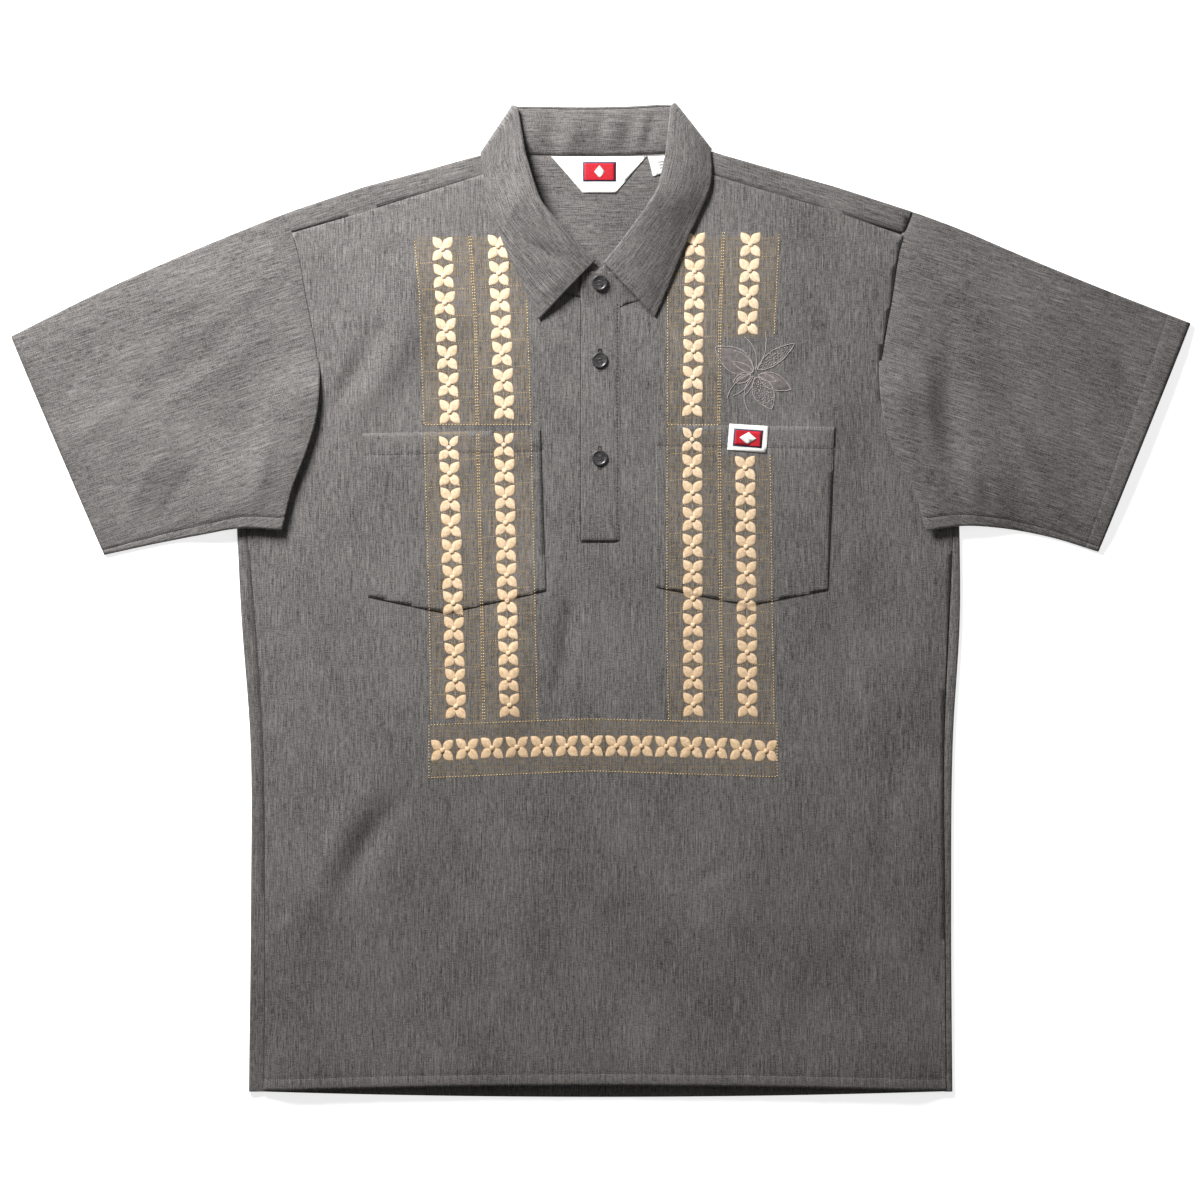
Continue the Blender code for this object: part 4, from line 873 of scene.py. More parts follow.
def sleevePoints(side):
    radius = shirt["foldRadius"]
    length = sleeves["length"]
    stitched = [213.5, 216, 217, 218, 220.5, 224, 228, 232, length]  # closer rows about the hem's stitches
    u = np.concatenate([[0, 1.2, 2.6, 4.5, 7], np.arange(11, 212, 4.5), stitched]) / length
    hemLine = 1 - sleeves["hemStitch"] / length
    seam = np.arange(1.0, 11.0)
    inner = np.linspace(0.03, 0.94, 50)
    topV = np.concatenate([[0, 0.006, 0.015], inner, 1 - seam[::-1] / 215, [0.998, 1.0]])
    lowV = np.linspace(1, 0, 27)
    turns = np.radians(np.linspace(0, 180, 9)[1:-1])
    rows, flat, seamLine = [], [], []
    turnTo = math.radians(18 * outward[side])
    for at in u:
        top, bottom = np.array(sleevePlan(side, at, 0.0)), np.array(sleevePlan(side, at, 1.0))
        span = float(np.linalg.norm(bottom - top))
        inset = (radius + shirt["wall"] / 2) / span
        seamAt = sleeves["underarmSeam"] * (0.35 + 0.9 * (1 - at))
        layers = []
        for v, level in ((topV, 1), (lowV, 0)):
            x, y = sleevePlan(side, at, inset + (1 - 2 * inset) * v)
            z = shirt["tableLayer"] + sleeveLift(side, x, y)
            if level:
                inner = np.minimum(v, 1 - v) * span
                edge = smooth(inner / 22) * smooth(at * length / 16)
                relief = (foldHeight(sleeveFolds[side], x, y) + 1.0) * edge
                relief = relief + sleeves["mouth"] * smooth((at - 0.8) / 0.2) * np.sin(math.pi * v) ** 0.8
                relief = relief - 0.8 * np.exp(-((((1 - v) * span - seamAt) / 0.9) ** 2))
                relief = relief - 0.3 * np.exp(-(((at - hemLine) * length / 0.9) ** 2))
                relief = relief + 0.3 * smooth((at - hemLine) * length / 2)
                z = z + 2 * radius + np.maximum(relief, -1.6)
            tuckIn = math.exp(-((at * length / 2.2) ** 2))
            x = x - outward[side] * shirt["tuck"] * tuckIn
            z = z + shirt["layerStep"] * tuckIn * (-1 if level else 1)
            layers.append(np.stack([x, y, z], 1))
        upper, lower = layers
        seamLine.append([np.interp(1 - seamAt / span, topV, upper[:, k]) for k in range(3)])
        ring = [upper]
        down = (bottom - top) / span
        for a, b, way in ((upper[-1], lower[0], down), (lower[-1], upper[0], -down)):
            middle, arm = (a + b) / 2, (a - b) / 2
            arc = [middle + arm * math.cos(t) + np.array([*way, 0]) * radius * math.sin(t) for t in turns]
            ring += [np.array(arc), lower] if way is down else [np.array(arc), upper[:1]]
        ring = np.concatenate(ring)
        rows.append(ring)
        c, s = math.cos(turnTo), math.sin(turnTo)
        plan = ring[:, :2] @ np.array([[s, c], [c, -s]]).T
        plan[len(topV) + 4 : -4, 0] *= -1  # the under layer's weave runs back the other way
        flat.append(plan)
    return np.array(rows), np.array(flat), np.array(seamLine)


def makeSleeve(side):
    points, flat, seamLine = sleevePoints(side)
    sheet = gridSheet(points, flat, closed=True)
    bmesh.ops.recalc_face_normals(sheet, faces=sheet.faces)
    piece = makePiece(f"sleeve{side.title()}", sheet, [cloth], shirt["wall"])
    return piece, gridSize(points), points, seamLine


# Collar

collarFolds = {  # soft waves of the stand and the leaf
    "x": (-38, -1, 22, 40, -22, 10, 31, -54, -66, -44, 58, 66, -40, 36, -84, 78),
    "y": (372, 380, 370, 376, 376, 372, 376, 374, 318, 278, 320, 300, 250, 252, 322, 330),
    "angle": (96, 84, 82, 78, 92, 88, 84, 84, 60, -28, 116, 122, 40, 128, 30, 150),
    "halfLength": (26, 20, 26, 24, 26, 26, 22, 24, 26, 26, 24, 22, 20, 22, 14, 14),
    "halfWidth": (6, 4.5, 6, 5, 9, 8, 5, 7, 8, 7, 8, 7, 8, 8, 6, 6),
    "height": (-2.4, -2.0, -1.6, -2.2, 2.0, 1.8, 1.6, 1.5, 1.4, -3.4, 1.2, -1.2, 1.6, 1.2, -0.8, -0.8),
    "bend": (2, 1, -2, 1, 2, -1, 1, 2, 3, 3, -3, 2, 2, -2, 1, -1),
}


def collarStations():  # seam, stand's top, roll's middle, leaf's edge and the way from stand to leaf
    up = Vector((0, 0, 1))
    radius = collar["rollRadius"]

    def frontRows(side):
        rows = []
        for angle in np.linspace(1.5, 86, 44):
            def column(name):
                return float(curveAt(collar["neck"], collar[name], angle))

            x, y = neckline(angle * outward[side])
            lap = collar["lap"] * max(1 - angle / collar["lapEnds"], 0) if side == "left" else 0.0
            seam = Vector((x, y + shirt["seamGap"], shirt["upperLayer"] + float(neckRise(x, y)) + lap))
            roll = Vector((column(side + "RollX"), column(side + "RollY"), column("rollZ") + lap))
            edge = Vector((column(side + "EdgeX"), column(side + "EdgeY"), column("edgeZ")))
            rows.append((seam, roll - up * radius, roll, edge, up))
        return rows

    def cornerRows(side):
        seamX, roll, edge = collar[side + "Corner"]
        roll, edge, rows = Vector(roll), Vector(edge), []
        for turn in np.linspace(0, 180, 16):
            angle = math.radians(turn)
            x = seamX - outward[side] * 2 * shirt["seamGap"]
            turned = (math.pi - angle) * shirt["foldRadius"]
            seam = Vector([float(k) for k in foldShoulder(np.array(x), turned)])
            seam.y += shirt["seamGap"] * turn / 180
            ways = []
            for start in (seam, edge):
                run = (roll - start).to_2d().normalized().to_3d()
                away = Vector((-run.y, run.x, 0)) * -outward[side]
                ways.append(up * math.cos(angle) + away * math.sin(angle))
            stand, leaf = ways
            clear = run * collar["clearsYoke"] * math.sin(angle)
            climb = Vector((0, collar["cornerRise"] * turn / 180, 0))
            top = roll + climb + stand * radius
            middle = roll + climb + leaf * (collar["leafFoldAtRoll"] - radius)
            rows.append((seam, top, middle, edge + leaf * collar["leafFoldAtEdge"] + clear, leaf))
        return rows

    backRows = []
    steps = np.arange(5)
    for at in np.linspace(0, 4, 30):
        x, y = [[float(curveAt(steps, [p[k] for p in collar[name]], at))
                 for name in ("backSeam", "backRoll", "backEdge")] for k in (0, 1)]
        seam = Vector((x[0], y[0], shirt["tableLayer"] + shirt["neckRise"]))
        roll = Vector((x[1], y[1], shirt["tableLayer"] + 0.1 + radius))
        edge = Vector((x[2], y[2], shirt["tableLayer"] + 0.1))
        backRows.append((seam, roll + up * radius, roll, edge, -up))
    right = frontRows("right") + cornerRows("right")
    left = frontRows("left") + cornerRows("left")
    return right + backRows + left[::-1]


standEnds = {
    "rightSeam": ((11.6, 241.6), (8.6, 240.9), (3.0, 240.5)),
    "rightTop": ((11.6, 250.0, 4.2), (8.6, 257.0, 4.9), (3.0, 261.6, 5.8)),
    "leftSeam": ((-14.4, 241.6), (-12.4, 240.9), (-6.0, 240.5)),
    "leftTop": ((-14.4, 250.0, 5.1), (-12.4, 255.4, 5.9), (-6.0, 260.6, 6.9)),
}


def makeStand(stations):
    rows = []
    for side, lap in (("right", 0.0), ("left", collar["lap"] / 2)):
        end = []
        for seam, top in zip(standEnds[side + "Seam"], standEnds[side + "Top"]):
            end.append((np.array([*seam, shirt["upperLayer"] + lap]), np.array(top)))
        near = stations[0] if side == "right" else stations[-1]
        end.append((np.array(near[0]), np.array(near[1])))
        steps = np.arange(4)
        fine = []
        for at in np.linspace(0, 3, 13)[:-1]:
            fine.append([np.array([curveAt(steps, [row[j][k] for row in end], at) for k in range(3)])
                         for j in (0, 1)])
        rows.append(fine)
    rightEnd, leftEnd = rows
    middle = []
    for seam, top, roll, edge, off in stations:
        seam, top = np.array(seam), np.array(top)
        middle.append((seam, top + (seam - top) / np.linalg.norm(seam - top) * shirt["seamGap"]))
    t = np.linspace(0, 1, 12)[:, None]
    points = np.array([seam + (top - seam) * t for seam, top in rightEnd + middle + leftEnd[::-1]])
    inner = points[:, :, 1] > collar["backFrom"]
    waves = foldHeight(collarFolds, points[..., 0], points[..., 1]) * np.sin(math.pi * t[:, 0]) ** 0.7
    points[..., 2] += np.where(inner, np.maximum(waves, -2.0) + 1.9 * np.sin(math.pi * t[:, 0]), 0)
    return points


def makeLeaf(stations):
    radius, rows = collar["rollRadius"], []
    for seam, top, roll, edge, off in stations:
        roll, edge, off = np.array(roll), np.array(edge), np.array(off)
        inward = -(edge - roll) * (1, 1, 0)
        inward = inward / np.linalg.norm(inward)
        turns = np.radians(np.linspace(0, 180, 9))[:, None]
        arc = roll + (inward * np.sin(turns) - off * np.cos(turns)) * radius
        length = float(np.linalg.norm(edge - arc[-1]))
        nearEdge = length - np.array([6, 5, 4, 2.2, 1, 0])
        spots = np.concatenate([np.linspace(0, length - 8, 14)[1:], nearEdge]) / length
        run = arc[-1] + (edge - arc[-1]) * spots[:, None]
        belly = 2.0 * np.sin(math.pi * np.clip(spots, 0, 1)) ** 0.8 * max(off[2], 0)
        waves = foldHeight(collarFolds, run[:, 0], run[:, 1]) * max(off[2], 0) * smooth((1 - spots) * 5)
        groove = -0.22 * np.exp(-(((1 - spots) * length - collar["topstitch"]) ** 2)) * max(off[2], 0)
        run[:, 2] += belly + np.maximum(waves, -3.2) + groove
        rows.append(np.concatenate([arc, run]))
    return np.array(rows)


# Placket, pockets and labels

placket = {
    "left": -16.0,
    "right": 15.2,
    "bottom": 46.4,
    "top": 262.0,
    "climbFrom": 240.0,  # from here it climbs over the stand's ends
    "climb": 0.2,
    "boxTop": 61.5,
    "stitchX": 12.9,
    "stitchTop": 238,
    "shoulderFrom": 234.0,  # its right edge turns out here, under the collar's point
    "shoulder": ((33.0, 240.5), (22.0, 262.0)),
    "underHalf": 13.2,
    "underBottom": 50.3,
    "underTop": 240.2,
}


def flatPiece(name, outline, cell, height, materials, wall, turn=0.0, panels=False, scores=()):
    sheet = panelSheet(outline, cell)
    for axis, place in scores:
        score(sheet, axis, place)
    if panels:
        markPanels(sheet)
    cut = cutSize(sheet)
    return makePiece(name, laySheet(sheet, lambda x, y: (x, y, height(x, y)), turn), materials, wall), cut


def makePocket(side):
    corners = pockets[side]
    outline = dense(corners + corners[:1], 5.0)[:-1]
    topY = (corners[0][1] + corners[1][1]) / 2
    lean = (corners[1][1] - corners[0][1]) / (corners[1][0] - corners[0][0])

    def height(x, y):
        inside = insideBy(corners, x, y)
        stitch = topY + lean * (x - (corners[0][0] + corners[1][0]) / 2) - pockets["hemStitch"] - y
        hem = -0.25 * np.exp(-((stitch / 1.1) ** 2)) + 0.25 * smooth(-stitch / 2)
        return frontMiddle(x, y) + shirt["layerStep"] + hem - 0.35 * np.exp(-((inside / 1.0) ** 2))

    rows = [(1, topY - pockets["hemStitch"] + k) for k in (-2.2, -1.1, 0, 1.1, 2.2)]
    return flatPiece(f"pocket{side.title()}", outline, 5.0, height, [cloth, darnedCloth], shirt["wall"],
                     panels=True, scores=rows)


def placketClimb(y):  # eases into its slope over a few millimetres
    past = y - placket["climbFrom"]
    return placket["climb"] * np.where(past > 4, past, np.maximum(past + 4, 0) ** 2 / 16)


def makePlacket():
    left, right, bottom, top = (placket[key] for key in ("left", "right", "bottom", "top"))
    shoulder = ((right, placket["shoulderFrom"]), *placket["shoulder"])
    outline = [(left, bottom), (right, bottom), *shoulder, (left, top), (left, bottom)]
    outline = dense(outline, 5.0)[:-1]

    def height(x, y):
        edge = np.minimum(x - left, y - bottom)
        sewnTo = placket["climbFrom"] + 9 * smooth((x - right) / 3)
        sewnDown = -0.75 * (1 - smooth((right - x) / 4.5)) * smooth((sewnTo - y) / 6)
        stitch = -0.25 * np.exp(-(((x - placket["stitchX"]) / 0.8) ** 2))
        base = frontMiddle(x, np.minimum(y, placket["climbFrom"])) + shirt["layerStep"] + placketClimb(y)
        return base - 0.3 * np.exp(-((edge / 0.9) ** 2)) + stitch + sewnDown

    lines = [(0, placket["stitchX"] + k) for k in (-0.9, 0, 0.9)] + [(0, left + 1.2), (0, right - 1.2)]
    band = flatPiece("placketBand", outline, 5.0, height, [cloth], shirt["wall"], scores=lines)
    half, low, high = placket["underHalf"], placket["underBottom"], placket["underTop"]
    outline = dense([(-half, low), (half, low), (half, high), (-half, high), (-half, low)], 5.0)[:-1]
    under = flatPiece("placketUnderBand", outline, 5.0, frontMiddle, [cloth], shirt["wall"])
    return band, under


labels = {
    "pocket": ((102.5, 140.7), (133.9, 138.6), (131.7, 117.1), (100.8, 119.8)),
    "neck": ((-39.7, 354.4), (36.2, 354.4), (11.6, 325.4), (-14.4, 325.4)),
    "size": ((37.6, 354.6), (41.6, 338.6), (63.0, 343.4), (58.6, 355.2)),
    "neckBlock": ((-14.4, 350.0), (12.0, 350.0), (12.0, 334.5), (-14.4, 334.5)),
    "wall": 0.7,
}


def onYoke(x, y):
    return shirt["tableLayer"] + neckRise(x, y) + shirt["layerStep"]


def onPocket(x, y):
    return frontMiddle(x, y) + 2 * shirt["layerStep"]


def labelPoint(corners, u, v):  # u across from the first corner, v down
    a, b, c, d = (np.array(corner) for corner in corners)
    return (a * (1 - u) + b * u) * (1 - v) + (d * (1 - u) + c * u) * v


def labelField(name, corners, box, height, material, lift, lozenge):
    # A woven field of a label: a thin raised block over part of it, box is left, top, right, bottom.
    left, top, right, bottom = box
    spots = [(left, top), (right, top), (right, bottom), (left, bottom)]
    if lozenge:
        across, down = (left + right) / 2, (top + bottom) / 2
        spots = [(across, top), (right, down), (across, bottom), (left, down)]
    outline = [labelPoint(corners, u, v) for u, v in spots]
    sheet = panelSheet(dense(outline + outline[:1], 3.0)[:-1], 3.0)
    laySheet(sheet, lambda x, y: (x, y, height(x, y) + labels["wall"] / 2 + lift))
    return makePiece(name, sheet, [material], 0.12)


labelFields = {  # each label's woven fields: name, box, material, how far it stands up, and whether a lozenge
    "pocket": (
        ("pocketLabelEdging", (0.13, 0.17, 0.87, 0.83), labelNavy, 0.12, False),
        ("pocketLabelField", (0.17, 0.22, 0.83, 0.78), labelRed, 0.30, False),
        ("pocketLabelLozenge", (0.28, 0.27, 0.72, 0.73), labelWhite, 0.75, True),
    ),
    "neck": (
        ("neckLabelEdging", (0.0, 0.0, 1.0, 1.0), labelNavy, 0.10, False),
        ("neckLabelField", (0.045, 0.07, 0.955, 0.93), labelRed, 0.22, False),
        ("neckLabelLozenge", (0.34, 0.18, 0.66, 0.82), labelWhite, 0.34, True),
    ),
    "size": (
        ("sizeLabelRow1", (0.30, 0.30, 0.36, 0.62), labelGrey, 0.10, False),
        ("sizeLabelRow2", (0.46, 0.30, 0.52, 0.70), labelGrey, 0.10, False),
        ("sizeLabelRow3", (0.62, 0.30, 0.68, 0.55), labelGrey, 0.10, False),
    ),
}


def makeLabels():
    lies = {"pocket": onPocket, "neck": onYoke, "size": onYoke}
    ribbons, fields = {}, {}
    for key, height in lies.items():
        corners = labels[key]
        outline = dense(corners + corners[:1], 3.0)[:-1]

        def edged(x, y, corners=corners, height=height):
            return height(x, y) - 0.25 * np.exp(-((insideBy(corners, x, y) / 0.9) ** 2))

        ribbons[key] = flatPiece(key + "Label", outline, 3.0, edged, [labelWhite], labels["wall"])
    for key, height in lies.items():
        block = labels["neckBlock"] if key == "neck" else labels[key]
        fields[key] = [labelField(name, block, box, height, material, lift, lozenge)
                       for name, box, material, lift, lozenge in labelFields[key]]
    return ribbons, fields


# Buttons

button = {
    "radius": 6.35,
    "thickness": 2.2,
    "rim": 1.5,
    "dish": 0.6,
    "hole": 0.85,
    "holePitch": 2.9,
    "tiltOnStand": 8.0,
}


def turnedButton():  # profile spun round Z, its underside at z = 0
    radius, thick = button["radius"], button["thickness"]
    well, floor = radius - button["rim"], thick - button["dish"]
    profile = [(0.01, floor), (well - 0.9, floor), (well - 0.35, floor + 0.15), (well, thick - 0.1)]
    profile += [(well + 0.35, thick), (radius - 0.55, thick), (radius - 0.15, thick - 0.22)]
    profile += [(radius, thick - 0.6), (radius, 0.8), (radius - 0.9, 0.1), (0.01, 0.1)]
    body = bmesh.new()
    ring = [body.verts.new((r, 0, z)) for r, z in profile]
    edges = [body.edges.new(pair) for pair in zip(ring, ring[1:])]
    bmesh.ops.spin(body, geom=ring + edges, axis=(0, 0, 1), cent=(0, 0, 0), angle=math.tau, steps=64,
                   use_merge=True)
    bmesh.ops.remove_doubles(body, verts=body.verts, dist=0.03)
    bmesh.ops.recalc_face_normals(body, faces=body.faces)
    return body


def holePins():
    pins = bmesh.new()
    for i in range(4):
        turn = math.radians(45 + 90 * i)
        place = Vector((math.cos(turn), math.sin(turn), 0)) * button["holePitch"] / math.sqrt(2)
        bmesh.ops.create_cone(pins, cap_ends=True, segments=20, radius1=button["hole"],
                              radius2=button["hole"], depth=10, matrix=Matrix.Translation(place))
    return pins


def makeButton(name, node):
    low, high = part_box(node)
    middle = (low + high) / 2
    body = makePiece(name, turnedButton(), [buttonResin])
    pins = makePiece(name + "Pins", holePins(), [])
    cutter = body.modifiers.new("holes", "BOOLEAN")
    cutter.object = pins
    tilted = high.z - low.z > 3 * mm
    graph = bpy.context.evaluated_depsgraph_get()
    mesh = bpy.data.meshes.new_from_object(body.evaluated_get(graph))
    body.modifiers.clear()
    body.data = mesh
    bpy.data.objects.remove(pins)
    mesh.shade_smooth()
    mesh.set_sharp_from_angle(angle=math.radians(50))
    turn = Matrix.Rotation(math.radians(button["tiltOnStand"] if tilted else 0), 4, "X")
    lift = Vector((middle.x, middle.y, middle.z)) - turn @ Vector((0, 0, button["thickness"] / 2 * mm))
    place = Matrix.Translation(lift) @ turn
    mesh.transform(place)
    threads = bmesh.new()
    pitch = button["holePitch"] / 2
    for sign in (-1, 1):
        for offset in (-0.22, 0.22):
            bar = Matrix.Translation((0, sign * pitch + offset, button["thickness"] - button["dish"] + 0.12))
            bmesh.ops.create_uvsphere(threads, u_segments=10, v_segments=6, radius=1,
                                      matrix=bar @ Matrix.Diagonal((pitch + 0.5, 0.26, 0.3, 1)))
    thread = makePiece(name + "Thread", threads, [sewingThread])
    thread.data.transform(place)
    return body, thread


# Embroidery

embroidery = {
    "petalTip": (7.7, 9.6),  # from the flower's middle to a petal's tip
    "petalFrom": 1.6,
    "petalHalfWidth": 4.0,
    "widthAt": (0.0, 0.08, 0.22, 0.36, 0.5, 0.69, 0.88, 1.0),  # along a petal, and its share of the width
    "widths": (0.3, 0.58, 0.86, 1.0, 0.98, 0.76, 0.36, 0.0),
    "petalRise": 0.55,
    "rowsAcross": (-1.0, -0.87, -0.45, 0.0, 0.45, 0.87, 1.0),  # a petal's threads; its outer rows are drawn in a darker tan
    "knot": 2.05,
    "dash": 1.5,
    "dashPitch": 2.35,
    "dashWidth": 0.95,
}
columns = {  # where the flowers' middles lie: count, first and last of each run
    "count": (7, 11, 7, 11, 7, 11, 4, 10),
    "firstX": (-126.5, -121.4, -82.4, -77.5, 75.2, 72.9, 119.4, 115.1),
    "firstY": (280.3, 121.4, 282.4, 123.7, 284.0, 128.0, 284.0, 105.4),
    "lastX": (-120.8, -115.8, -77.3, -73.0, 73.0, 73.7, 117.2, 117.2),
    "lastY": (150.4, -85.1, 153.8, -84.1, 156.2, -83.5, 221.3, -83.8),
}
band = {
    "count": 14,
    "firstX": -126.7,
    "lastX": 131.7,
    "endY": -120.2,
    "rise": 3.7,
    "size": (1.05, 0.93, 1.0),  # these flowers are wider and shorter than the ones in the columns
}


def petal(template, angle, length, start, halfWidth, rise):
    # A satin stitched petal: a grid drawn in to a point at the tip, domed, with its outer rows in a darker
    # tan.
    grid = bmesh.ops.create_grid(template, x_segments=6, y_segments=8, size=0.5)["verts"]
    weave = template.loops.layers.uv.verify()
    faces = {face for vert in grid for face in vert.link_faces}
    turn = Matrix.Rotation(angle - math.pi / 2, 3, "Z")
    places = {}
    for vert in grid:
        across, t = float(np.interp(vert.co.x * 6, range(-3, 4), embroidery["rowsAcross"])), vert.co.y + 0.5
        wide = halfWidth * float(curveAt(embroidery["widthAt"], embroidery["widths"], t))
        dome = rise * (1 - abs(across) ** 2.6) * (math.sin(math.pi * min(max(t, 0.03), 0.97)) ** 0.45)
        dome -= 0.16 * rise * math.exp(-((across / 0.3) ** 2)) * math.sin(math.pi * t)
        places[vert] = (across * wide, start + (length - start) * t, max(dome, 0.0))
    for face in faces:
        middle = sum(vert.co.x for vert in face.verts) / 4
        face.material_index = 1 if abs(middle) > 0.4 else 0
        for loop in face.loops:
            loop[weave].uv = places[loop.vert][:2]
    for vert, place in places.items():
        vert.co = turn @ Vector(place)


def flowerTemplate():
    template = bmesh.new()
    tipX, tipY = embroidery["petalTip"]
    length = math.hypot(tipX, tipY)
    for sx in (-1, 1):
        for sy in (-1, 1):
            petal(template, math.atan2(sy * tipY, sx * tipX), length, embroidery["petalFrom"],
                  embroidery["petalHalfWidth"], embroidery["petalRise"])
    bmesh.ops.remove_doubles(template, verts=template.verts, dist=0.02)
    knot = bmesh.ops.create_uvsphere(template, u_segments=8, v_segments=6, radius=embroidery["knot"])["verts"]
    bmesh.ops.scale(template, vec=(1, 1, 0.36), verts=knot)
    bmesh.ops.translate(template, vec=(0, 0, 0.62), verts=knot)
    return template


def flowerSpot(i, k):  # the middle of flower k in run i
    first = np.array([columns["firstX"][i], columns["firstY"][i]])
    last = np.array([columns["lastX"][i], columns["lastY"][i]])
    return first + (last - first) * k / (columns["count"][i] - 1)


def makeFlowers():
    places, angles = [], []
    for i, count in enumerate(columns["count"]):
        places += [flowerSpot(i, k) for k in range(count)]
        angles += [0.02 * math.sin(2.3 * k + i) for k in range(count)]
    for k in range(band["count"]):
        x = band["firstX"] + (band["lastX"] - band["firstX"]) * k / (band["count"] - 1)
        places.append(np.array([x, band["endY"] + band["rise"] * (1 - (x / 130) ** 2)]))
        angles.append(math.pi / 2)
    sizes = np.ones((len(places), 3))
    sizes[-band["count"]:] = band["size"]
    return copies("embroideredFlowers", flowerTemplate(), [creamThread, petalRimTan], places, angles,
                  sizes, topOfFront)


def dashes(paths, jitter, pitch, slants=None):  # places and angles of running stitches along paths
    places, angles = [], []
    for i, path in enumerate(paths):
        spots, turns = spaced(dense(path, 4.0), pitch)
        places.append(spots)
        angles.append(turns + (slants[i] if slants else 0.0))
    places, angles = np.concatenate(places), np.concatenate(angles)
    wobble = np.random.default_rng(11).normal(0, jitter, len(angles))
    return places, angles + wobble


def shifted(path, offset):
    path = dense(path, 4.0)
    run = np.gradient(path, axis=0)
    run /= np.linalg.norm(run, axis=1)[:, None]
    return path + np.stack([-run[:, 1], run[:, 0]], 1) * offset


def edgePath(name, high, low):
    y = np.linspace(high, low, 30)
    return np.stack([edgeX(name, y), y], 1)


def makeGoldStitches():
    paths, slants = [], []
    for side in outward:
        for name in ("Outer", "Middle", "Inner"):
            points = panelEdges[side + name]
            bySprig = (side, name) == ("left", "Outer")
            upperStop = panelEnds["cornerTop"] if bySprig else panelEnds["upper"]
            lowerTop = panelEnds["cornerBottom"] if bySprig else panelEnds["lower"][side]
            offsets = (-0.8, 0.8) if name == "Middle" else (0.0,)
            for high, low in ((points[0][1], upperStop), (lowerTop, panelEnds["bottom"] + 1)):
                for offset in offsets:
                    paths.append(shifted(edgePath(side + name, high, low), offset))
                    slants.append(0.75 * offset)
    ends = [[(x, -99.5), (x, -141.5)] for x in (-137.2, 140.7)]
    paths += [panelEdges["bandTop"], panelEdges["bandBottom"], *ends]
    slants += [0.3] * 4
    y = panelEnds["upper"]
    for outer, inner in (("rightOuter", "rightInner"), ("leftMiddle", "leftInner")):
        paths.append([(edgeX(outer, y), y), (edgeX(inner, y), y)])  # closed off above the pockets
        slants.append(0.0)
    places, angles = dashes(paths, 0.12, embroidery["dashPitch"], slants)
    size = (embroidery["dash"], embroidery["dashWidth"], 0.5)
    return copies("goldRunningStitches", grain(), [goldThread], places, angles, size,
                  lambda x, y: topOfFront(x, y) + 0.12)


def makeCrossRows():  # faint rows of stitches across each panel, between one flower and the next
    paths = []
    for i, count in enumerate(columns["count"]):
        side = "right" if columns["firstX"][i] < 0 else "left"
        inner = i % 4 in (2, 3) if side == "right" else i in (4, 5)
        edges = ("Middle", "Inner") if inner else ("Outer", "Middle")
        for k in range(count - 1):
            x, y = flowerSpot(i, k + 0.5)
            ends = sorted(float(edgeX(side + name, y)) for name in edges)
            paths.append([(ends[0] + 2, y - 1.0), (x - 3, y + 0.3)])
            paths.append([(x + 3, y + 0.3), (ends[1] - 2, y + 1.2)])
            paths.append([(x, y - 1.4), (x, y + 1.4)])
    places, angles = dashes(paths, 0.12, 1.75)
    return copies("crossRowStitches", grain(), [goldThread], places, angles, (1.05, 0.42, 0.36),
                  lambda x, y: topOfFront(x, y) + 0.08)


motif = {
    "middle": (123.0, 181.0),
    # petals of the winged sprig: where each starts, the way it points, its length and half width
    "petalX": (-1.5, 2.0, 3.0, 1.0, -3.5),
    "petalY": (1.0, 3.0, -1.5, -3.5, -1.0),
    "petalAngle": (147, 35, -24, -64, 204),
    "petalLength": (36, 36, 28, 28, 15),
    "petalHalfWidth": (9.6, 5.4, 6.4, 8.2, 3.8),
    "petalSeeds": (0, 1, 0, 1, 0),
    # tendrils: start angle, end angle and reach, curling off the middle
    "tendrilFrom": (78, 104, 58, 228, 244, 262, 196),
    "tendrilTo": (106, 132, 76, 262, 226, 244, 222),
    "tendrilReach": (30, 24, 34, 32, 25, 20, 30),
}


def teardrop(start, angle, length, halfWidth, count=26):  # a closed outline, pointed at its far end
    t = np.linspace(0, 1, count)
    wide = halfWidth * np.sin(math.pi * t**0.85) ** 0.8
    wide = np.nan_to_num(wide)
    along = np.concatenate([t, t[::-1][1:]]) * length
    across = np.concatenate([wide, -wide[::-1][1:]])
    c, s = math.cos(math.radians(angle)), math.sin(math.radians(angle))
    return np.stack([start[0] + along * c - across * s, start[1] + along * s + across * c], 1)


